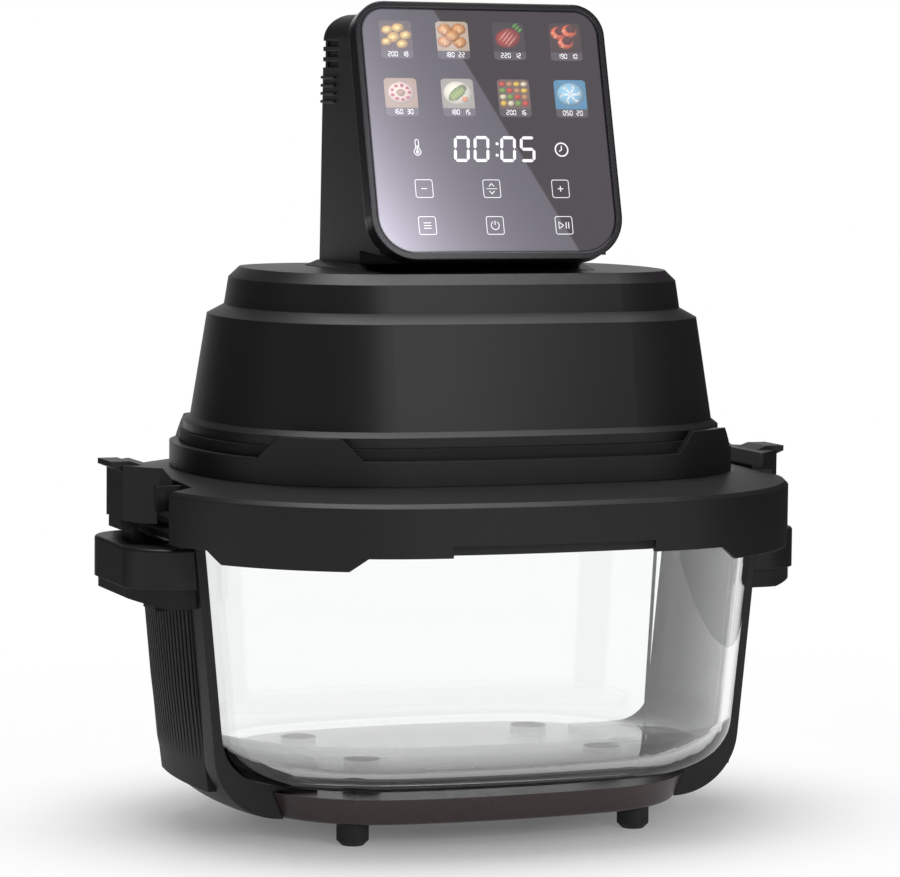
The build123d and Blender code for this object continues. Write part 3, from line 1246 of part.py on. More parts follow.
# Latches, made for the left
def latch_plan(grow):
    """The latch block's plan, with two large chamfers on its outer corners."""
    out = LATCH_OUT + grow
    inner = LATCH_IN - grow
    half = LATCH_HALF + grow
    return [
        (-inner, -half),
        (-out + LATCH_CHAMFER, -half),
        (-out, -half + LATCH_CHAMFER),
        (-out, half - LATCH_CHAMFER),
        (-out + LATCH_CHAMFER, half),
        (-inner, half),
    ]


def latch_block(grow, bottom, top):
    face = make_face(Polyline(*[(x, y, bottom) for x, y in latch_plan(grow)], close=True))
    return extrude(face, amount=top - bottom, dir=(0, 0, 1))


def latch():
    """A snap latch: hollow block, flared tab, tongue with its nose, and four ears on the pivot pin."""
    body = latch_block(0, LATCH_BOTTOM, LATCH_TOP)
    bevel_points = [
        (-LATCH_IN - LATCH_TOP_BEVEL, LATCH_TOP + CUT),
        (-LATCH_IN + CUT, LATCH_TOP + CUT),
        (-LATCH_IN + CUT, LATCH_TOP - LATCH_TOP_BEVEL - CUT),
    ]
    bevel = slab_xz(bevel_points, -LATCH_HALF - CUT, LATCH_HALF + CUT)
    body = body - bevel
    hollow = latch_block(-LATCH_WALL, LATCH_BOTTOM - CUT, LATCH_TOP - LATCH_WALL)
    hollow = hollow - (Pos(-LATCH_WALL * 1.2, 0, -LATCH_WALL * 1.2) * bevel)
    body = body - hollow
    room_half = LATCH_HALF - LATCH_WALL
    room_top = LATCH_TOP - LATCH_TOP_BEVEL - 5
    room_in = -LATCH_IN - LATCH_WALL - CUT
    body = body - block(room_in, -LATCH_IN + CUT, -room_half, room_half, LATCH_BOTTOM - CUT, room_top)
    heel_points = [
        (-PIVOT_X + 3.5, LATCH_BOTTOM - CUT),
        (-PIVOT_X + 3.5, LATCH_BOTTOM),
        (-LATCH_IN, PIVOT_Z - 2),
        (-LATCH_IN + CUT, PIVOT_Z - 2),
        (-LATCH_IN + CUT, LATCH_BOTTOM - CUT),
    ]
    body = body - slab_xz(heel_points, -LATCH_HALF - CUT, LATCH_HALF + CUT)
    skirt = latch_block(0, LATCH_SKIRT_BOTTOM, LATCH_BOTTOM) - latch_block(-LATCH_WALL, LATCH_SKIRT_BOTTOM, LATCH_BOTTOM)
    skirt = skirt & block(-TAB_REACH, -LATCH_SKIRT_IN, -LATCH_HALF, LATCH_HALF, LATCH_SKIRT_BOTTOM, LATCH_BOTTOM)
    arch_radius = (LATCH_HALF**2 / 2 + LATCH_ARCH**2) / (2 * LATCH_ARCH)
    arch_z = LATCH_SKIRT_BOTTOM + LATCH_ARCH - arch_radius
    arch = Pos(-LATCH_OUT, 0, arch_z) * Rot(0, 90, 0) * Cylinder(arch_radius, 4 * LATCH_CHAMFER)
    body = body + (skirt - arch)
    for sign in (-1, 1):
        y0, y1 = sorted((sign * KNUCKLE_INNER, sign * KNUCKLE_OUTER))
        knuckle = rod_y(-PIVOT_X, PIVOT_Z, y0, y1, KNUCKLE_RADIUS)
        web_top = LATCH_TOP - LATCH_WALL + 0.5
        web = block(-PIVOT_X - KNUCKLE_RADIUS, -PIVOT_X + KNUCKLE_RADIUS, y0, y1, PIVOT_Z, web_top) - bevel
        body = body + knuckle + (web & latch_block(-1, LATCH_BOTTOM, LATCH_TOP - 1))
    tongue_top = LATCH_BOTTOM + LATCH_WALL
    tongue = block(-LATCH_OUT, -LATCH_OUT + TONGUE_WALL, -TONGUE_HALF, TONGUE_HALF, TONGUE_BOTTOM, tongue_top)
    nose_reach = CATCH_INNER + CATCH_WALL + CATCH_LIP + SEAT_GAP
    nose = block(-LATCH_OUT, -nose_reach, -TONGUE_HALF, TONGUE_HALF, TONGUE_BOTTOM, TONGUE_BOTTOM + NOSE_HEIGHT)
    tab_top = LATCH_TOP + TAB_RISE
    tab = slab_xz(
        [
            (-TAB_REACH, tab_top),
            (-TAB_ROOT - 6, tab_top),
            (-TAB_ROOT, LATCH_TOP),
            (-TAB_ROOT, LATCH_TOP - TAB_THICKNESS),
            (-LATCH_OUT, LATCH_TOP - TAB_THICKNESS),
            (-TAB_REACH, tab_top - TAB_THICKNESS),
        ],
        -TAB_HALF,
        TAB_HALF,
    )
    body = body + tongue + nose + tab
    return body - rod_y(-PIVOT_X, PIVOT_Z, -LATCH_HALF - CUT, LATCH_HALF + CUT, PIN_RADIUS + RUNNING_GAP)


def latch_pins():
    """Each latch's pivot pin, held in two lugs, and the lower steel rod, held in the recess's cheeks."""
    pin_end = LUG_IN + LUG_WALL
    rod_end = POCKET_HALF + POCKET_WALL
    pins = []
    for side in (-1, 1):
        pins.append(rod_y(side * PIVOT_X, PIVOT_Z, -pin_end, pin_end, PIN_RADIUS))
        pins.append(rod_y(side * ROD_X, ROD_Z, -rod_end, rod_end, ROD_RADIUS))
    return group(pins)


def latch_springs():
    """The coil on each pivot pin, between the two inner ears."""
    springs = []
    half = KNUCKLE_INNER - SEAT_GAP
    for side in (-1, 1):
        coil = rod_y(side * PIVOT_X, PIVOT_Z, -half, half, SPRING_RADIUS)
        springs.append(coil - rod_y(side * PIVOT_X, PIVOT_Z, -half - CUT, half + CUT, PIN_RADIUS + 0.02))
    return group(springs)


write(base_tray(), "base_tray")
write(group([foot(x, y) for x, y in four(FOOT_X, FOOT_Y)]), "feet")
write(foot_screws(), "foot_screws")
write(tray_screws(), "tray_screws")
write(bowl_pads(), "bowl_pads")

for name, piece in (
    ("side_frame", side_frame()),
    ("side_cover", side_cover()),
    ("handle", handle()),
    ("handle_cover", handle_cover()),
    ("catch", catch()),
    ("latch", latch()),
):
    write(piece, name + "_left")
    write(mirrored(piece), name + "_right")

write(handle_screws(), "handle_screws")
write(glass_bowl(), "glass_bowl")
write(rim_gasket(), "rim_gasket")
write(lid(), "lid")
write(collar(), "collar")
write(housing_band(), "housing_band")
write(upper_housing(), "upper_housing")
write(housing_screws(), "housing_screws")
write(cord_gland(), "cord_gland")
write(heat_dish(), "heat_dish")
write(dish_screws(), "dish_screws")
write(fan_guard(), "fan_guard")
write(heating_element(), "heating_element")
write(element_clips(), "element_clips")
write(terminal_bushes(), "terminal_bushes")
write(thermostat(), "thermostat")
write(circulation_fan(), "circulation_fan")
write(cooling_fan(), "cooling_fan")
write(motor_shaft(), "motor_shaft")
write(fan_nut(), "fan_nut")
write(motor_mount(), "motor_mount")
write(motor(), "motor")
write(motor_screws(), "motor_screws")
write(power_board(), "power_board")
write(board_standoffs(), "board_standoffs")
write(tower_column(), "tower_column")
write(tower_rear_cover(), "tower_rear_cover")
write(rear_cover_screws(), "rear_cover_screws")
write(tower_screws(), "tower_screws")
write(screen_bezel(), "screen_bezel")
write(touch_glass(), "touch_glass")
write(display_board(), "display_board")
write(ribbon_cable(), "ribbon_cable")
write(latch_pins(), "latch_pins")
write(latch_springs(), "latch_springs")
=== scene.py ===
# %% [markdown]
# # The looks of a glass air fryer
#
# The solid parts come from CAD as a fixed frame, in metres, with the front towards -Y. This file
# gives them their finishes, adds what CAD leaves plain, and lights them as in a small studio.

# %% Load the frame
import json
import math

import bpy
import numpy as np
from mathutils import Matrix


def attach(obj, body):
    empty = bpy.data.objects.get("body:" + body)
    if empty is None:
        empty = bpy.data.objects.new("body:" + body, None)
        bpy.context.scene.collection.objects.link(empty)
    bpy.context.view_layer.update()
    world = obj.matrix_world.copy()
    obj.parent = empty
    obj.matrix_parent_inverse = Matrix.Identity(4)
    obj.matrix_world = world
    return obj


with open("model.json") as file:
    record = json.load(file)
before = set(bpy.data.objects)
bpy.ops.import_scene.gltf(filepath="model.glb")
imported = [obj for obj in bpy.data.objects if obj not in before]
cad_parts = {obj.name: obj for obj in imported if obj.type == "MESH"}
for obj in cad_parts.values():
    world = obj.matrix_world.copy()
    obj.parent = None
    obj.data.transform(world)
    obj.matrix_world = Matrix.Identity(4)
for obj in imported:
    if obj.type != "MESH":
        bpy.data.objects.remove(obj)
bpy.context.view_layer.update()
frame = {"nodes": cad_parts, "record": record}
MM = 0.001

# %% [markdown]
# ## Camera
#
# A long lens from nearly two metres keeps the verticals almost parallel, as a product photographer
# would want. The place and turn come from matching the feet, the rims and the screen's corners. The
# turn is written as three axes, because an axis is easier to check than three Euler angles.

# %% Camera
AZIMUTH = math.radians(-21.01)
PITCH = math.radians(4.88)
ROLL = math.radians(0.55)
FOCAL_PIXELS = 3876.0
FRAME_WIDTH = 900
SENSOR_WIDTH = 36.0
EYE = np.array([-0.678, -1.765, 0.3467])
UPRIGHT = np.array([0.0, 0.0, 1.0])

flat_right = np.array([math.cos(AZIMUTH), math.sin(AZIMUTH), 0.0])
flat_ahead = np.array([-math.sin(AZIMUTH), math.cos(AZIMUTH), 0.0])
ahead = math.cos(PITCH) * flat_ahead - math.sin(PITCH) * UPRIGHT
level_up = math.sin(PITCH) * flat_ahead + math.cos(PITCH) * UPRIGHT
right = math.cos(ROLL) * flat_right + math.sin(ROLL) * level_up
up = math.cos(ROLL) * level_up - math.sin(ROLL) * flat_right

lens = bpy.data.cameras.new("studio_camera")
lens.sensor_fit = "HORIZONTAL"
lens.sensor_width = SENSOR_WIDTH
lens.lens = FOCAL_PIXELS / FRAME_WIDTH * SENSOR_WIDTH
lens.clip_end = 50
camera = bpy.data.objects.new("studio_camera", lens)
bpy.context.collection.objects.link(camera)
turn = np.eye(4)
turn[:3, 0] = right
turn[:3, 1] = up
turn[:3, 2] = -ahead
turn[:3, 3] = EYE
camera.matrix_world = Matrix(turn.tolist())
bpy.context.scene.camera = camera
bpy.context.scene.view_settings.view_transform = "Standard"
print("lens:", round(lens.lens, 1), "mm")


# %% [markdown]
# ## Meshes from arrays
#
# Most pieces here are sheets of points: a grid with rows and columns. One helper numbers the faces
# that join each point to its neighbours, and another makes a mesh from points and faces. Whole arrays
# go into Blender at once, which is far quicker than adding vertices one by one. A piece of the object
# rides on one of its bodies, and a piece without a body belongs to the stage.

# %% Grid mesh
def new_piece(name, points, faces, finish, body, smooth=True):
    """A mesh object from arrays. The faces are rows of point numbers."""
    mesh = bpy.data.meshes.new(name)
    mesh.from_pydata(np.asarray(points).reshape(-1, 3).tolist(), [], np.asarray(faces).tolist())
    mesh.polygons.foreach_set("use_smooth", np.full(len(mesh.polygons), smooth))
    mesh.update()
    piece = bpy.data.objects.new(name, mesh)
    bpy.context.collection.objects.link(piece)
    mesh.materials.append(finish)
    if body:
        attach(piece, body)
    return piece


def grid_faces(rows, columns):
    """Four-cornered faces over a grid. A face joins a point, the next in its row, and the two in the
    next row."""
    number = np.arange(rows * columns).reshape(rows, columns)
    corners = [number[:-1, :-1], number[:-1, 1:], number[1:, 1:], number[1:, :-1]]
    return np.stack(corners, axis=-1).reshape(-1, 4)


print("faces of a 3 by 3 grid:", len(grid_faces(3, 3)))

# %% [markdown]
# ## Shader maths
#
# A finish is a tree of nodes, and so is the world's light. Written out link by link it is hard to read,
# so a small class wraps a node's output and gives it plus, minus and times: `1 - mask` adds the Math
# node by itself. A second class holds the tree, and one method of it makes every other kind of node.

# %% Shader maths
class Signal:
    """One output socket. Arithmetic on it adds Math nodes."""

    def __init__(self, finish, socket):
        self.finish = finish
        self.socket = socket

    def maths(self, operation, first, second):
        return self.finish.add("ShaderNodeMath", {"operation": operation}, {0: first, 1: second})

    def __add__(self, other):
        return self.maths("ADD", self, other)

    def __radd__(self, other):
        return self.maths("ADD", other, self)

    def __sub__(self, other):
        return self.maths("SUBTRACT", self, other)

    def __rsub__(self, other):
        return self.maths("SUBTRACT", other, self)

    def __mul__(self, other):
        return self.maths("MULTIPLY", self, other)

    def __rmul__(self, other):
        return self.maths("MULTIPLY", other, self)

    def above(self, level):
        return self.maths("GREATER_THAN", self, level)


class Finish:
    """A material, or the world, under construction. add() makes any node, sets it, then fills its
    inputs."""

    def __init__(self, name, world=None):
        self.owner = world or bpy.data.materials.new(name)
        self.owner.use_nodes = True
        self.tree = self.owner.node_tree
        self.tree.nodes.clear()

    def add(self, kind, settings=None, inputs=None, output=0):
        node = self.tree.nodes.new(kind)
        for key, value in (settings or {}).items():
            setattr(node, key, value)
        for key, value in (inputs or {}).items():
            if isinstance(value, Signal):
                self.tree.links.new(value.socket, node.inputs[key])
            else:
                node.inputs[key].default_value = value
        return Signal(self, node.outputs[output])

    def place(self):
        """Where a point is on the object, in metres."""
        return self.add("ShaderNodeTexCoord", output="Object")

    def noise(self, scale, detail=2.0, place=None):
        """Cloudy variation between 0 and 1. The scale is cycles per metre."""
        inputs = {"Vector": place or self.place(), "Scale": scale, "Detail": detail}
        return self.add("ShaderNodeTexNoise", {}, inputs)

    def attribute(self, name, output="Fac"):
        """A number or a colour that the mesh carries point by point."""
        return self.add("ShaderNodeAttribute", {"attribute_name": name}, output=output)

    def smooth_range(self, value, start, end, low, high):
        """From low to high, with soft ends, as the value goes from start to end."""
        inputs = {"Value": value, "From Min": start, "From Max": end, "To Min": low, "To Max": high}
        return self.add("ShaderNodeMapRange", {"interpolation_type": "SMOOTHSTEP"}, inputs)

    def soft_edges(self, radius):
        """A normal that rounds sharp edges, as moulded and pressed parts have."""
        return self.add("ShaderNodeBevel", {"samples": 4}, {"Radius": radius})

    def bump(self, height, distance, normal=None):
        inputs = {"Height": height, "Distance": distance, "Strength": 1.0}
        if normal:
            inputs["Normal"] = normal
        return self.add("ShaderNodeBump", {}, inputs)

    def blend(self, share, first, second):
        """A colour between two, by a share from 0 to 1."""
        return self.add(
            "ShaderNodeMix", {"data_type": "RGBA"}, {0: share, 6: first, 7: second}, output=2
        )

    def end(self, shader, kind="ShaderNodeOutputMaterial"):
        """Joins a shader to the output, and gives the finished material or world."""
        output = self.tree.nodes.new(kind)
        self.tree.links.new(shader.socket, output.inputs["Surface"])
        return self.owner

    def principled(self, **inputs):
        """The all-round shader. An input's name is written with underscores for its spaces."""
        names = {key.replace("_", " "): value for key, value in inputs.items()}
        return self.add("ShaderNodeBsdfPrincipled", {}, names)

    def done(self, **inputs):
        return self.end(self.principled(**inputs))


# %% [markdown]
# ## Finishes
#
# The body is moulded in black and dark grey plastic with a fine spark-eroded grain. The grain is a
# bump whose dots are about half a millimetre apart, too fine to see but enough to spread the
# highlights. Larger noise varies the gloss a little, as handling does. A Bevel node rounds the sharp
# edges of the CAD solids, which no moulded part has, without a change to their meshes.

# %% Moulded plastic
GRAIN_CYCLES = 2600.0
HANDLING_CYCLES = 14.0


def opaque(colour, share=1.0):
    """A colour of four numbers from three, made darker by a share."""
    return [share * value for value in colour] + [1.0]


def moulded(name, colour, gloss, grain=0.00002, edge=0.0006, shine=0.35):
    """Grained plastic. The gloss is its roughness, and shine its mirror strength."""
    finish = Finish(name)
    fine = finish.noise(GRAIN_CYCLES, 1.0)
    broad = finish.noise(HANDLING_CYCLES, 3.0)
    return finish.done(
        Base_Color=finish.blend(broad, opaque(colour, 0.86), opaque(colour)),
        Roughness=gloss + 0.08 * broad, Specular_IOR_Level=shine,
        Normal=finish.bump(fine, grain, finish.soft_edges(edge)),
    )


# %% [markdown]
# Metal is the same shader with Metallic at 1, and its streaks come from noise that a Mapping node has
# stretched along one axis. Rubber is rough and a little uneven.

# %% Metal and rubber
def metal(name, colour, gloss, brush=400.0, edge=0.0004):
    """Metal with fine streaks, brush to the metre, that run up it."""
    finish = Finish(name)
    stretched = finish.add(
        "ShaderNodeMapping", {}, {"Vector": finish.place(), "Scale": (1.0, 1.0, 0.06)}
    )
    streaks = finish.noise(brush, 3.0, stretched)
    normal = finish.bump(streaks, 0.00002, finish.soft_edges(edge))
    return finish.done(
        Base_Color=opaque(colour), Metallic=1.0, Roughness=gloss + 0.14 * streaks, Normal=normal
    )


def plain_rubber(name, colour):
    finish = Finish(name)
    fine = finish.noise(1500.0, 2.0)
    return finish.done(
        Base_Color=opaque(colour), Roughness=0.72 + 0.1 * fine,
        Normal=finish.bump(fine, 0.00006, finish.soft_edges(0.0005)),
    )


# %% [markdown]
# The bowl is a thick glass solid with an inner and an outer face, so light bends twice in each wall and
# the corners show streaks by themselves. The touch glass is black, because what lies behind it is dark,
# and mirrors the room. Both are slightly smeared.

# %% Glass
def clear_glass(name):
    """Solid glass: light bends in it, and a faint green-grey shows where it is thick."""
    finish = Finish(name)
    smear = finish.noise(30.0, 3.0)
    return finish.done(
        Base_Color=(0.975, 0.985, 0.98, 1.0), Roughness=0.02 * smear, IOR=1.48, Transmission_Weight=1.0
    )


def touch_glass():
    """Black glass with a hard clean reflection."""
    finish = Finish("black_touch_glass")
    smear = finish.noise(60.0, 4.0)
    return finish.done(
        Base_Color=(0.004, 0.004, 0.005, 1.0), Roughness=0.006 + 0.012 * smear, Specular_IOR_Level=1.0,
        Normal=finish.soft_edges(0.0008),
    )


# %% [markdown]
# The boards are inside and hardly show. Their traces are the edges of square Voronoi cells. The heating
# element shows through the glass and from below, and glows a little, as it does in use.

# %% Board and element
def circuit_board():
    """Green lacquer, lighter where a point is far from the middle of its square cell."""
    finish = Finish("circuit_board")
    cells = finish.add(
        "ShaderNodeTexVoronoi", {"distance": "CHEBYCHEV", "feature": "F1"},
        {"Vector": finish.place(), "Scale": 350.0},
    )
    base = finish.blend(cells.above(0.42), (0.02, 0.16, 0.08, 1), (0.05, 0.28, 0.15, 1))
    return finish.done(Base_Color=base, Roughness=0.35)


def element_sheath():
    """The element's dull sheath, faintly orange as it is when hot."""
    finish = Finish("element_sheath")
    scale = finish.noise(500.0, 3.0)
    heat = finish.blend(scale, (0.55, 0.10, 0.02, 1), (0.85, 0.22, 0.05, 1))
    return finish.done(
        Base_Color=(0.10, 0.08, 0.07, 1.0), Metallic=0.6, Roughness=0.45 + 0.2 * scale,
        Emission_Color=heat, Emission_Strength=1.2,
    )


# %% [markdown]
# The record gives each solid a material slot, such as black_satin. One table turns a slot into a finish,
# and a second one names the few pieces that differ from the rest of their slot.

# %% Which piece has which finish
FINISHES = {
    "glass_clear": clear_glass("clear_glass"),
    "glass_dark": touch_glass(),
    "black_satin": moulded("black_satin", (0.0095, 0.0084, 0.0095), 0.40),
    "black_matte": moulded("black_matte", (0.0070, 0.0068, 0.0074), 0.58),
    "grey_satin": moulded("grey_satin", (0.0115, 0.0098, 0.0115), 0.40),
    "rubber_dark": plain_rubber("dark_rubber", (0.02, 0.02, 0.021)),
    "steel": metal("plated_steel", (0.62, 0.61, 0.60), 0.22),
    "aluminium": metal("pressed_aluminium", (0.78, 0.78, 0.79), 0.28, 90.0),
    "element_steel": element_sheath(),
    "motor_paint": moulded("motor_paint", (0.10, 0.10, 0.11), 0.4),
    "ceramic": moulded("glazed_ceramic", (0.70, 0.68, 0.62), 0.3),
    "board": circuit_board(),
    "ribbon": moulded("ribbon_plastic", (0.35, 0.35, 0.36), 0.5),
}
GLOSSY_BLACK = moulded(
    "polished_black", (0.007, 0.007, 0.008), 0.16, grain=0.000004, edge=0.0012, shine=0.5
)
TOWER_BLACK = moulded("tower_black", (0.008, 0.008, 0.0085), 0.36)
FRAME_BLACK = moulded("frame_black", (0.0095, 0.0084, 0.0095), 0.38, grain=0.000003)
# The base tray is dark smoky plastic. Its warm brown, and its lightness beside the other blacks, are in
# part a painted reflection of warm light.
TRAY_SMOKY_AND_PAINTED_WARM_LIGHT = moulded("tray_smoky_and_painted_warm_light", (0.052, 0.034, 0.035), 0.24, grain=0.000006, shine=0.5)
NODE_FINISHES = {
    "screen_bezel": GLOSSY_BLACK,
    "tower_column": TOWER_BLACK,
    "tower_rear_cover": TOWER_BLACK,
    "base_tray": TRAY_SMOKY_AND_PAINTED_WARM_LIGHT,
    "side_frame_left": FRAME_BLACK,
    "side_frame_right": FRAME_BLACK,
    "latch_pins": metal("blackened_steel", (0.05, 0.05, 0.05), 0.4),
}
slot_of = {entry["node"]: entry["material_slot"] for entry in frame["record"]["subparts"]}
for node, piece in frame["nodes"].items():
    for place in piece.material_slots:
        place.material = NODE_FINISHES.get(node, FINISHES[slot_of[node]])
print("finishes:", len(FINISHES))

# %% [markdown]
# ## Touch panel
#
# What the glass shows is thin lit patches, a tenth of a millimetre or less above it. Their places are in
# millimetres on the glass: u to the right from its middle, v up it from its lower edge. A lit patch has
# almost the black and the gloss of the glass, and Emission Color adds its light, so it mirrors the room
# as the glass around it does.

# %% Places on the glass
PANEL_LEAN = math.radians(16.0)
PANEL_FOOT = np.array([0.0, -0.065, 0.279])
PANEL_UP = np.array([0.0, math.sin(PANEL_LEAN), math.cos(PANEL_LEAN)])
PANEL_NORMAL = np.array([0.0, -math.cos(PANEL_LEAN), math.sin(PANEL_LEAN)])


def on_panel(u, v, lift):
    """Points on the glass, in metres, from millimetres along it, up it and off it."""
    u, v = np.broadcast_arrays(np.asarray(u, float), np.asarray(v, float))
    across = u[..., None] * np.array([1.0, 0.0, 0.0])
    return PANEL_FOOT + MM * (across + v[..., None] * PANEL_UP + lift * PANEL_NORMAL)


def printed(name, painted):
    """Lit print under the same glossy surface as the glass. The colour is fixed, or from the mesh."""
    finish = Finish(name)
    if painted:
        colour = finish.attribute("paint", "Color")
    else:
        colour = finish.blend(finish.noise(900.0), (0.86, 0.86, 0.88, 1), (1.0, 1.0, 1.0, 1))
    return finish.done(
        Base_Color=(0.004, 0.004, 0.005, 1.0), Roughness=0.012, Specular_IOR_Level=1.0,
        Emission_Color=colour, Emission_Strength=1.0,
    )


# %% [markdown]
# The eight pictures are painted by formulas on a small grid of colours, which the mesh carries as a
# colour attribute, so no image file is needed. A picture is a few shaded ellipses on a ground that gets
# darker towards its edges. Under each stands a plain number for its heat and one for its minutes.

# %% Painting
TILE_CELLS = 44
TILE_HALF = 8.2
TILE_HEIGHT = 14.4
LABEL_HEIGHT = 4.2
STREAK_HALF = 0.035


class Picture:
    """A small square painting. a runs from -1 at the left to 1, b from -1 at the bottom to 1."""

    def __init__(self, ground):
        line = np.linspace(-1, 1, TILE_CELLS)
        self.b, self.a = np.meshgrid(line, line, indexing="ij")
        self.paint = np.zeros((TILE_CELLS, TILE_CELLS, 3)) + np.array(ground)
        self.paint *= (1.0 - 0.25 * np.hypot(self.a, self.b))[..., None]

    def lay(self, share, colour):
        """Covers the painting with a colour, by a share from 0 to 1."""
        share = np.clip(share, 0, 1)[..., None]
        self.paint = self.paint * (1 - share) + share * colour

    def dab(self, x, y, wide, high, colour, turn=0.0):
        """A shaded ellipse over a slightly wider dark one. The radius is 1 on its outline, and its light
        falls with the square of the radius and towards the lower right."""
        colour = np.array(colour)
        along = (self.a - x) * math.cos(turn) + (self.b - y) * math.sin(turn)
        up = -(self.a - x) * math.sin(turn) + (self.b - y) * math.cos(turn)
        radius = np.hypot(along / wide, up / high)
        self.lay((1.12 - radius) / 0.12, 0.35 * colour)
        light = np.clip(1.0 - 0.45 * radius**2 - 0.25 * (along / wide - up / high) * 0.7, 0, 1.3)
        self.lay((1.0 - radius) / 0.10, colour * light[..., None])

    def streaks(self, x, y, length, pitch, count, colour, turn):
        """A row of thin parallel marks."""
        for index in range(count):
            shift = (index - (count - 1) / 2) * pitch
            place = (x - shift * math.sin(turn), y + shift * math.cos(turn))
            self.dab(*place, length, STREAK_HALF, colour, turn)


print("painting ready")

# %% [markdown]
# Each motif is a function that returns its colours. A list of places with one loop is enough for most
# of them, since the pictures are only 16 mm wide.

# %% Motifs
def amber_rounds():
    art = Picture((0.10, 0.07, 0.05))
    rounds = (
        (-0.5, 0.35, 0.34), (0.15, 0.5, 0.36), (0.6, 0.0, 0.34),
        (-0.15, -0.15, 0.38), (-0.6, -0.45, 0.3), (0.35, -0.6, 0.34),
    )
    for x, y, size in rounds:
        art.dab(x, y, size, 0.8 * size, (0.80, 0.48, 0.10), 0.3)
        art.dab(x, y, 0.6 * size, 0.45 * size, (0.95, 0.72, 0.25), 0.3)
    return art.paint


def brown_buns():
    art = Picture((0.62, 0.50, 0.38))
    for x, y in ((-0.45, 0.4), (0.42, 0.45), (-0.5, -0.4), (0.4, -0.42), (0.0, 0.0)):
        art.dab(x, y, 0.42, 0.38, (0.72, 0.30, 0.08))
        art.streaks(x, y, 0.22, 0.14, 3, (0.95, 0.70, 0.40), 0.7)
    return art.paint


def marbled_slab():
    art = Picture((0.03, 0.03, 0.03))
    art.dab(-0.05, -0.1, 0.78, 0.62, (0.38, 0.04, 0.03), 0.4)
    art.streaks(-0.05, -0.1, 0.5, 0.22, 4, (0.75, 0.40, 0.34), 0.9)
    for x, y in ((0.6, 0.62), (0.75, 0.45), (0.45, 0.78)):
        art.dab(x, y, 0.2, 0.08, (0.10, 0.34, 0.05), 0.8)
    return art.paint


def red_crescents():
    art = Picture((0.05, 0.03, 0.03))
    for x, y in ((-0.4, 0.3), (0.3, 0.45), (0.0, -0.35)):
        art.dab(x, y, 0.46, 0.42, (0.85, 0.16, 0.07))
        art.dab(x + 0.12, y + 0.14, 0.3, 0.26, (0.10, 0.03, 0.03))
        art.streaks(x - 0.26, y - 0.12, 0.12, 0.16, 3, (0.98, 0.55, 0.40), 0.4)
    return art.paint


DOT_TURN = 0.698


def cream_ring():
    art = Picture((0.50, 0.36, 0.24))
    art.dab(0, 0, 0.82, 0.74, (0.88, 0.66, 0.56))
    art.dab(0, 0, 0.26, 0.22, (0.45, 0.30, 0.20))
    for turn in DOT_TURN * np.arange(9):
        art.dab(0.54 * math.cos(turn), 0.48 * math.sin(turn), 0.11, 0.09, (0.50, 0.04, 0.12))
    return art.paint


def green_leaf():
    art = Picture((0.42, 0.40, 0.34))
    art.dab(0, 0, 0.9, 0.82, (0.84, 0.80, 0.66))
    art.dab(0, 0, 0.68, 0.32, (0.22, 0.34, 0.08), 0.75)
    art.streaks(0, 0, 0.26, 0.2, 5, (0.55, 0.66, 0.25), 2.2)
    art.dab(0.42, -0.42, 0.16, 0.16, (0.80, 0.30, 0.08))
    return art.paint


def mixed_squares():
    art = Picture((0.20, 0.14, 0.12))
    colours = (
        (0.65, 0.08, 0.05), (0.80, 0.55, 0.08), (0.20, 0.38, 0.08),
        (0.55, 0.28, 0.14), (0.78, 0.70, 0.50),
    )
    for row in range(4):
        for column in range(4):
            colour = colours[(2 * row + 3 * column) % 5]
            art.dab(-0.68 + 0.45 * column, 0.66 - 0.44 * row, 0.2, 0.17, colour, 0.2)
    return art.paint


def ice_star():
    art = Picture((0.10, 0.34, 0.58))
    art.dab(0, 0, 0.86, 0.8, (0.30, 0.62, 0.85))
    for turn in np.arange(6) * math.pi / 3:
        art.dab(0.34 * math.cos(turn), 0.34 * math.sin(turn), 0.36, 0.06, (0.86, 0.94, 1.0), turn)
        twig = turn + 0.22
        art.dab(0.58 * math.cos(twig), 0.58 * math.sin(twig), 0.14, 0.04, (0.86, 0.94, 1.0), turn + 0.8)
    return art.paint


PICTURES = (
    amber_rounds, brown_buns, marbled_slab, red_crescents,
    cream_ring, green_leaf, mixed_squares, ice_star,
)
print("motifs:", len(PICTURES))

# %% [markdown]
# A tile is a flat grid whose cells are left out where they lie outside its rounded corners. Its lowest
# rows are the dark strip for the numbers, and the rest take their colours from the picture.

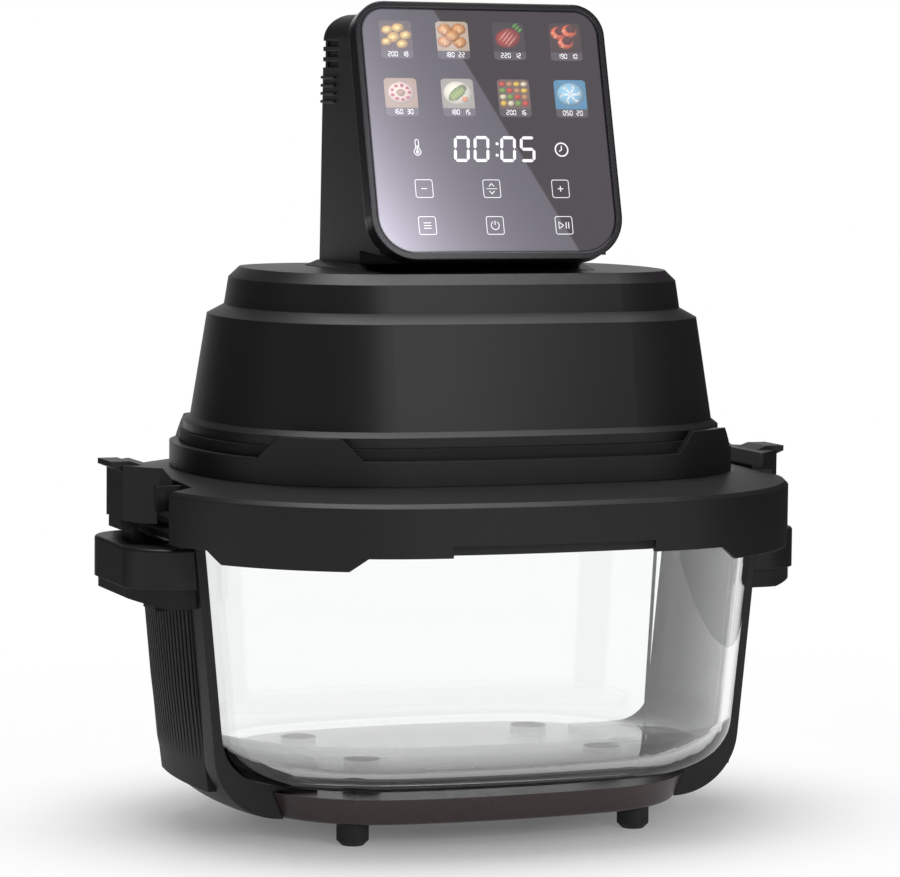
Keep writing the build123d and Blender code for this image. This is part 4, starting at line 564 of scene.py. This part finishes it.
# %% Picture tiles
TILE_COLUMNS = (-43.4, -14.7, 14.0, 43.2)
TILE_ROWS = (94.2, 66.0)
TILE_CORNER = 1.2
TILE_LIFT = 0.05
STRIP_COLOUR = (0.075, 0.068, 0.078)
LABELS = ("200 18", "180 22", "220 12", "190 10", "160 30", "180 15", "200 16", "050 20")
points = []
faces = []
colours = []
cell = np.linspace(-1, 1, TILE_CELLS)
cell_v, cell_u = np.meshgrid(cell, cell, indexing="ij")
picture_half = (TILE_HEIGHT + LABEL_HEIGHT) / 2
corner_u = np.clip(np.abs(cell_u) * TILE_HALF - (TILE_HALF - TILE_CORNER), 0, None)
for index, picture in enumerate(PICTURES):
    column = TILE_COLUMNS[index % 4]
    foot = TILE_ROWS[index // 4]
    v_local = (cell_v + 1) * picture_half
    corner_v = np.clip(np.abs(v_local - picture_half) - (picture_half - TILE_CORNER), 0, None)
    outside = np.hypot(corner_u, corner_v) > TILE_CORNER + 0.05
    paint = picture()
    share = np.clip((v_local - LABEL_HEIGHT) / TILE_HEIGHT, 0, 1) * (TILE_CELLS - 1)
    paint = paint[share.astype(int), np.arange(TILE_CELLS)[None, :]]
    paint[v_local < LABEL_HEIGHT] = STRIP_COLOUR
    faces_here = grid_faces(TILE_CELLS, TILE_CELLS)
    faces_here = faces_here[~outside.ravel()[faces_here].any(axis=1)]
    faces.append(faces_here + index * TILE_CELLS**2)
    points.append(on_panel(column + cell_u * TILE_HALF, foot + v_local, TILE_LIFT).reshape(-1, 3))
    colours.append(np.insert(paint, 3, 1.0, axis=-1).reshape(-1, 4))
tiles = new_piece(
    "panel_pictures", np.concatenate(points), np.concatenate(faces), printed("picture_print", True),
    "head",
)
layer = tiles.data.color_attributes.new("paint", "FLOAT_COLOR", "POINT")
layer.data.foreach_set("color", np.clip(np.concatenate(colours), 0, 1).ravel().astype(np.float32))
print("picture points:", len(layer.data))

# %% [markdown]
# The marks are strokes: a line of points and a width. At a bend the ribbon's edge points are moved out
# along the bisector, which keeps its width.

# %% Strokes
MARK_LIFT = 0.1
SHARPEST = 0.4
mark_points = []
mark_faces = []


def add_marks(spots, faces):
    """Keeps the points of a mark, and its faces numbered on from the marks before it."""
    base = sum(len(group) for group in mark_points)
    mark_points.append(on_panel(spots[:, 0], spots[:, 1], MARK_LIFT))
    mark_faces.append(base + np.asarray(faces))


def stroke(line, width, closed=False):
    """A flat ribbon along a line of (u, v) points. At a corner its edges go out by half the width over
    the cosine of half the turn, and by less at the sharpest corners."""
    line = np.asarray(line, float)
    ahead_of = np.roll(line, -1, axis=0) - line
    behind_of = line - np.roll(line, 1, axis=0)
    if not closed:
        ahead_of[-1] = behind_of[-1]
        behind_of[0] = ahead_of[0]
    ahead_of = ahead_of / np.linalg.norm(ahead_of, axis=1, keepdims=True)
    behind_of = behind_of / np.linalg.norm(behind_of, axis=1, keepdims=True)
    middle = ahead_of + behind_of
    middle = middle / np.linalg.norm(middle, axis=1, keepdims=True)
    normal = np.stack([-middle[:, 1], middle[:, 0]], axis=1)
    stretch = 1 / np.maximum((middle * ahead_of).sum(axis=1), SHARPEST)
    offset = normal * (stretch * width / 2)[:, None]
    sides = np.stack([line - offset, line + offset], axis=1).reshape(-1, 2)
    here = 2 * np.arange(len(line) if closed else len(line) - 1)
    after = (here + 2) % (2 * len(line))
    add_marks(sides, np.stack([here, after, after + 1, here + 1], axis=1))


def arc(u, v, radius, start, end, steps=28):
    """Points on a circle between two angles in degrees."""
    turns = np.radians(np.linspace(start, end, steps))
    return np.stack([u + radius * np.cos(turns), v + radius * np.sin(turns)], axis=1)


def rounded_square(u, v, half, corner):
    """Four quarter circles in turn, which the closed stroke joins."""
    spots = []
    reach = half - corner
    for sign_u, sign_v, start in ((1, 1, 0), (-1, 1, 90), (-1, -1, 180), (1, -1, 270)):
        spots.append(arc(u + sign_u * reach, v + sign_v * reach, corner, start, start + 90, 6))
    return np.concatenate(spots)


print("a key's outline:", rounded_square(0, 0, 4.3, 1.0).shape)

# %% [markdown]
# Digits are the usual seven bars, given here by which bars are lit. Each bar is a hexagon that comes to
# a point at both ends, and ends a little before the corner where bars meet.

# %% Digits
SEGMENTS = {
    "0": "abcdef", "1": "bc", "2": "abged", "3": "abgcd", "4": "fgbc",
    "5": "afgcd", "6": "afgedc", "7": "abc", "8": "abcdefg", "9": "abcdfg",
}
BARS = {
    "a": ((0, 2), (1, 2)), "b": ((1, 2), (1, 1)), "c": ((1, 1), (1, 0)), "d": ((0, 0), (1, 0)),
    "e": ((0, 0), (0, 1)), "f": ((0, 1), (0, 2)), "g": ((0, 1), (1, 1)),
}
BAR_GAP = 0.03


def tapered(start, end, width):
    """One bar of a digit: a long hexagon, whose two points stand at its ends."""
    start, end = np.asarray(start, float), np.asarray(end, float)
    run = (end - start) / np.linalg.norm(end - start) * width / 2
    side = np.array([-run[1], run[0]])
    near, far = start + run, end - run
    corners = np.array([start, near + side, far + side, end, far - side, near - side])
    add_marks(corners, [[3, 2, 1, 0], [5, 4, 3, 0]])


def digits(text, u, v, wide, high, pitch, width, slant=0.09):
    """Seven-bar digits, starting at u, standing on v. They lean by the slant times their height."""
    for place, letter in enumerate(text):
        for bar in SEGMENTS.get(letter, ""):
            ends = np.array(BARS[bar], float) * (1, 0.5)
            run = ends[1] - ends[0]
            ends = ends + np.array([run * BAR_GAP, -run * BAR_GAP])
            rise = ends[:, 1] * high
            spots = np.stack([u + place * pitch + ends[:, 0] * wide + slant * rise, v + rise], axis=1)
            tapered(spots[0], spots[1], width)


print("bars:", len(BARS))

# %% [markdown]
# The time stands in the middle, with a thermometer at its left and a clock at its right. Each key is a
# rounded square with a plain sign: less, up or down, more, list, power, and start or stop.

# %% Numbers
TIME_FOOT = 44.6
for text, start in (("00", -19.0), ("05", 4.6)):
    digits(text, start, TIME_FOOT, wide=6.5, high=11.2, pitch=10.0, width=1.5)
for v in (47.2, 52.8):
    stroke([(2.1 + 0.09 * (v - 44), v - 0.65), (2.2 + 0.09 * (v - 44), v + 0.65)], 1.4)
for index, label in enumerate(LABELS):
    start, foot = TILE_COLUMNS[index % 4] - 4.6, TILE_ROWS[index // 4] + 1.15
    digits(label, start, foot, wide=1.15, high=2.2, pitch=1.75, width=0.42, slant=0.0)
print("marks so far:", len(mark_faces))

# %% Keys and signs
KEY_COLUMNS = (-36.1, -1.9, 33.3)
KEY_ROWS = (30.8, 12.9)
KEY_HALF = 4.3
KEY_CORNER = 1.0
for u in KEY_COLUMNS:
    for v in KEY_ROWS:
        stroke(rounded_square(u, v, KEY_HALF, KEY_CORNER), 0.36, closed=True)
minus, both, plus = KEY_COLUMNS
upper, lower = KEY_ROWS
stroke([(minus - 1.5, upper), (minus + 1.5, upper)], 0.4)
stroke([(plus - 1.4, upper), (plus + 1.4, upper)], 0.45)
stroke([(plus, upper - 1.4), (plus, upper + 1.4)], 0.45)
stroke([(both - 2.8, upper), (both + 2.8, upper)], 0.3)
stroke([(both - 1.3, upper + 1.1), (both, upper + 2.5), (both + 1.3, upper + 1.1)], 0.4)
stroke([(both - 1.3, upper - 1.1), (both, upper - 2.5), (both + 1.3, upper - 1.1)], 0.4)
for row in (-1.3, 0.0, 1.3):
    stroke([(minus - 1.9, lower + row), (minus + 1.9, lower + row)], 0.4)
stroke(arc(both, lower, 2.0, 120, 420), 0.4)
stroke([(both, lower + 0.3), (both, lower + 2.3)], 0.45)
foot, head = lower - 1.6, lower + 1.6
stroke([(plus - 2.6, foot), (plus - 2.6, head), (plus - 0.2, lower), (plus - 2.6, foot)], 0.35)
for u in (plus + 1.1, plus + 2.4):
    stroke([(u, foot), (u, head)], 0.5)
print("marks so far:", len(mark_faces))

# %% Thermometer and clock
HEAT_U = -37.7
TIME_U, TIME_V = 35.8, 50.1
bulb = arc(HEAT_U, 48.7, 1.7, 118, 422)
stem = arc(HEAT_U, 53.8, 0.85, 0, 180, 10)
stroke(np.concatenate([bulb, stem]), 0.42, closed=True)
stroke([(HEAT_U, 48.9), (HEAT_U, 51.8)], 0.6)
stroke(arc(HEAT_U, 48.6, 0.45, 0, 350, 12), 0.8, closed=True)
stroke(arc(TIME_U, TIME_V, 3.2, 0, 350, 36), 0.7, closed=True)
stroke([(TIME_U, 52.0), (TIME_U, TIME_V), (34.5, 49.2)], 0.55)
all_faces = np.concatenate(mark_faces)
marks = new_piece(
    "panel_marks", np.concatenate(mark_points), all_faces, printed("white_print", False), "head",
    smooth=False,
)
print("marks:", len(mark_faces), "faces:", len(all_faces))

# %% [markdown]
# ## Vent gauze
#
# Through the slots of the tower's rear cover one looks onto a dark gauze, which keeps dust off the
# boards. It is moulded into the wall, so it closes the slots where they go round the corners too. It is
# a strip: a path in plan, straight, round a corner, straight, round the other corner and straight,
# carried up between two heights.

# %% Gauze
def woven(name, colour):
    """Fine dark cloth: a checker of two tones, which also gives the bump."""
    finish = Finish(name)
    inputs = {"Vector": finish.place(), "Scale": 1400.0}
    checks = finish.add("ShaderNodeTexChecker", {}, inputs, output="Fac")
    base = finish.blend(checks, opaque(colour), opaque(colour, 0.5))
    return finish.done(Base_Color=base, Roughness=0.8, Normal=finish.bump(checks, 0.0001))


GAUZE_HALF = 56.5
GAUZE_BACK = 29.4
GAUZE_FRONT = 4.2
GAUZE_CORNER = 2.6
GAUZE_LOW = 361.0
GAUZE_HIGH = 379.6
GAUZE_ROWS = 5
turns = np.radians(np.linspace(0, 90, 9))
corner_x = GAUZE_HALF - GAUZE_CORNER + GAUZE_CORNER * np.cos(turns)
corner_y = GAUZE_BACK - GAUZE_CORNER + GAUZE_CORNER * np.sin(turns)
plan_x = np.concatenate([[GAUZE_HALF], corner_x, -corner_x[::-1], [-GAUZE_HALF]])
plan_y = np.concatenate([[GAUZE_FRONT], corner_y, corner_y[::-1], [GAUZE_FRONT]])
heights = np.linspace(GAUZE_LOW, GAUZE_HIGH, GAUZE_ROWS)
gauze_z, gauze_x = np.meshgrid(heights, plan_x, indexing="ij")
gauze_y = np.broadcast_to(plan_y, gauze_x.shape)
gauze_points = MM * np.stack([gauze_x, gauze_y, gauze_z], axis=-1)
cloth = woven("gauze_cloth", (0.010, 0.010, 0.011))
gauze = new_piece("vent_gauze", gauze_points, grid_faces(GAUZE_ROWS, len(plan_x)), cloth, "head")
print("gauze points:", gauze_points.shape)

# %% [markdown]
# ## Studio
#
# The background is white because of its own colour, seen by the camera and in reflections, and not
# because more light falls on the object. Only the part of the wall that stands across the table is
# bright in reflections, so upper faces shine and side faces stay black. A floor catches the soft shadow
# and fades into that white.

# %% World and floor
AMBIENT = 0.035
BACK_WALL = 0.85
WALL_HEADING = (0.36, 0.93, 0.05)
WHITE = (1.0, 1.0, 1.0, 1.0)
world = bpy.data.worlds.new("studio")
bpy.context.scene.world = world
sky = Finish("studio", world)
to_camera = sky.add("ShaderNodeLightPath", output="Is Camera Ray")
through_glass = sky.add("ShaderNodeLightPath", output="Is Transmission Ray")
seen = to_camera.maths("MAXIMUM", to_camera, through_glass)
outwards = sky.add("ShaderNodeTexCoord", output="Generated")
towards_wall = sky.add(
    "ShaderNodeVectorMath", {"operation": "DOT_PRODUCT"}, {0: outwards, 1: WALL_HEADING}, output="Value"
)
behind = sky.smooth_range(towards_wall, 0.86, 0.985, AMBIENT, BACK_WALL)
strength = behind * (1 - seen) + seen
background = sky.add("ShaderNodeBackground", {}, {"Color": WHITE, "Strength": strength})
sky.end(background, "ShaderNodeOutputWorld")


def floor_finish():
    """Pale paper near the object, turning to plain white with distance from it. The distance counts
    less across than along, and the share of white is the sum of a near and a far soft step."""
    finish = Finish("paper_floor")
    oval = finish.add(
        "ShaderNodeVectorMath", {"operation": "MULTIPLY"}, {0: finish.place(), 1: (0.72, 1.0, 1.0)}
    )
    away = finish.add("ShaderNodeVectorMath", {"operation": "LENGTH"}, {0: oval}, output="Value")
    near = finish.smooth_range(away, 0.04, 0.22, 0.12, 0.88)
    far = finish.smooth_range(away, 0.2, 0.6, 0.0, 0.12)
    paper = finish.principled(Base_Color=(0.86, 0.86, 0.875, 1), Roughness=0.5)
    white = finish.add("ShaderNodeEmission", {}, {"Strength": 1.0})
    return finish.end(finish.add("ShaderNodeMixShader", {}, {0: near + far, 1: paper, 2: white}))


FLOOR_REACH = 6.0
floor_y, floor_x = np.meshgrid([-FLOOR_REACH, FLOOR_REACH], [-FLOOR_REACH, FLOOR_REACH], indexing="ij")
floor_points = np.stack([floor_x, floor_y, np.zeros((2, 2))], axis=-1)
new_piece("studio_floor", floor_points, grid_faces(2, 2), floor_finish(), None, smooth=False)
print("world and floor ready")

# %% [markdown]
# The lamps are soft boxes, as a photographer of black things uses: a large one overhead, one in front
# and to the right whose broad highlight runs down the front, and a faint one at the left. A small warm
# one under the lid stands for the glow of the element. No lamp is seen itself, straight or through the
# glass.

# %% Lamps
def softbox(name, place, aim, width, height, watts):
    """A rectangular lamp that faces a point."""
    light = bpy.data.lights.new(name, "AREA")
    light.shape = "RECTANGLE"
    light.size = width
    light.size_y = height
    light.energy = watts
    lamp = bpy.data.objects.new(name, light)
    bpy.context.collection.objects.link(lamp)
    back = np.array(place, float) - np.array(aim, float)
    back = back / np.linalg.norm(back)
    side = np.cross(UPRIGHT, back)
    length = np.linalg.norm(side)
    side = side / length if length > 1e-6 else np.array([1.0, 0, 0])
    rows = np.eye(4)
    rows[:3, 0] = side
    rows[:3, 1] = np.cross(back, side)
    rows[:3, 2] = back
    rows[:3, 3] = place
    lamp.matrix_world = Matrix(rows.tolist())
    return lamp


MIDDLE = (0, 0, 0.2)
lamps = [
    softbox("top_box", (0.0, 0.1, 1.7), MIDDLE, width=1.3, height=1.1, watts=34),
    softbox("front_box", (0.4, -2.2, 1.0), MIDDLE, width=0.8, height=0.8, watts=13.5),
    softbox("side_box", (-1.9, 0.2, 0.9), MIDDLE, width=0.8, height=1.2, watts=0.3),
    softbox("warm_box", (0, 0, 0.149), (0, 0, 0), width=0.17, height=0.11, watts=0.3),
]
lamps[-1].data.color = (1.0, 0.66, 0.42)
lamps[-1].visible_glossy = False
for lamp in lamps:
    lamp.visible_camera = False
    lamp.visible_transmission = False
print("lamps:", len(lamps))

# %% [markdown]
# The touch glass mirrors a window, cut off by a straight edge. Its card is a warped grid: each point of
# the glass sends the eye's ray off it to one point of the card, so that what is drawn on the card lands
# where it should. Only mirror-like rays see the card.

# %% Reflection card
CARD_AWAY = 1.2
CARD_BRIGHT = (0.98, 0.93, 1.10, 1.0)
CARD_DIM = (0.105, 0.094, 0.104, 1.0)
CARD_GAIN = 11.0
CARD_LINES = 41
GLASS_HALF = 60.3
GLASS_LENGTH = 118.9


def card_finish():
    """Bright to the left of the edge, brightest low at the left, and dim to the right of it. What
    varies goes into the colour, and the strength is one number."""
    finish = Finish("window_card")
    bright = finish.blend(finish.attribute("glow"), (0.0, 0.0, 0.0, 1.0), CARD_BRIGHT)
    colour = finish.blend(finish.attribute("left_of_edge").above(0.0), CARD_DIM, bright)
    return finish.end(finish.add("ShaderNodeEmission", {}, {"Color": colour, "Strength": CARD_GAIN}))


def for_mirrors_only(piece):
    """Hides a piece from every kind of ray but the mirror-like ones."""
    piece.visible_camera = False
    piece.visible_diffuse = False
    piece.visible_transmission = False
    piece.visible_shadow = False


span_u = np.linspace(-GLASS_HALF, GLASS_HALF, CARD_LINES)
span_v = np.linspace(0, GLASS_LENGTH, CARD_LINES)
card_v, card_u = np.meshgrid(span_v, span_u, indexing="ij")
glass_points = on_panel(card_u, card_v, 0.0)
rays = glass_points - EYE
rays = rays / np.linalg.norm(rays, axis=-1, keepdims=True)
mirrored = rays - 2 * (rays @ PANEL_NORMAL)[..., None] * PANEL_NORMAL
card_points = glass_points + CARD_AWAY * mirrored
card_faces = grid_faces(CARD_LINES, CARD_LINES)
card = new_piece("window_card", card_points, card_faces, card_finish(), None, smooth=False)
print("card points:", card_points.shape)

# %% [markdown]
# The card's light falls off from the lower left, by a factor e in 32 mm across and in 55 mm up. The
# straight edge starts at the right of the glass's foot and leans to the left. Both are numbers that the
# mesh carries, and the material reads them.

# %% Light on the card
GLOW_LEAST = 0.17
GLOW_MORE = 0.86
FALL_ACROSS = 32
FALL_UP = 55
EDGE_START = 40.2
EDGE_LEAN = 0.5334
glow = GLOW_LEAST + GLOW_MORE * np.exp(-(card_u + 60) / FALL_ACROSS) * np.exp(-card_v / FALL_UP)
left_of_edge = EDGE_START - EDGE_LEAN * card_v - card_u
for name, values in (("glow", glow), ("left_of_edge", left_of_edge)):
    attribute = card.data.attributes.new(name, "FLOAT", "POINT")
    attribute.data.foreach_set("value", values.ravel().astype(np.float32))
for_mirrors_only(card)
print("glow from", round(float(glow.min()), 2), "to", round(float(glow.max()), 2))

# %% [markdown]
# A photographer sets black boards beside a black object, so that its flanks don't mirror the white
# paper. The two flags here are seen by mirror-like rays only.

# %% Flags
FLAG_BLACK = plain_rubber("flag_cloth", (0.01, 0.01, 0.01))
FLAG_FOOT = 0.002
FLAG_HEIGHT = 1.0


def flag(name, start, end):
    """A standing board between two points of the floor."""
    ends = np.array([start, end], float)
    low = np.insert(ends, 2, FLAG_FOOT, axis=1)
    high = np.insert(ends, 2, FLAG_HEIGHT, axis=1)
    points = np.stack([low, high])
    for_mirrors_only(new_piece(name, points, grid_faces(2, 2), FLAG_BLACK, None, smooth=False))


flag("flag_left", (-1.3, 0.3), (-0.2, 0.3))
flag("flag_right", (0.5, -0.4), (0.5, 0.6))
print("flags placed")
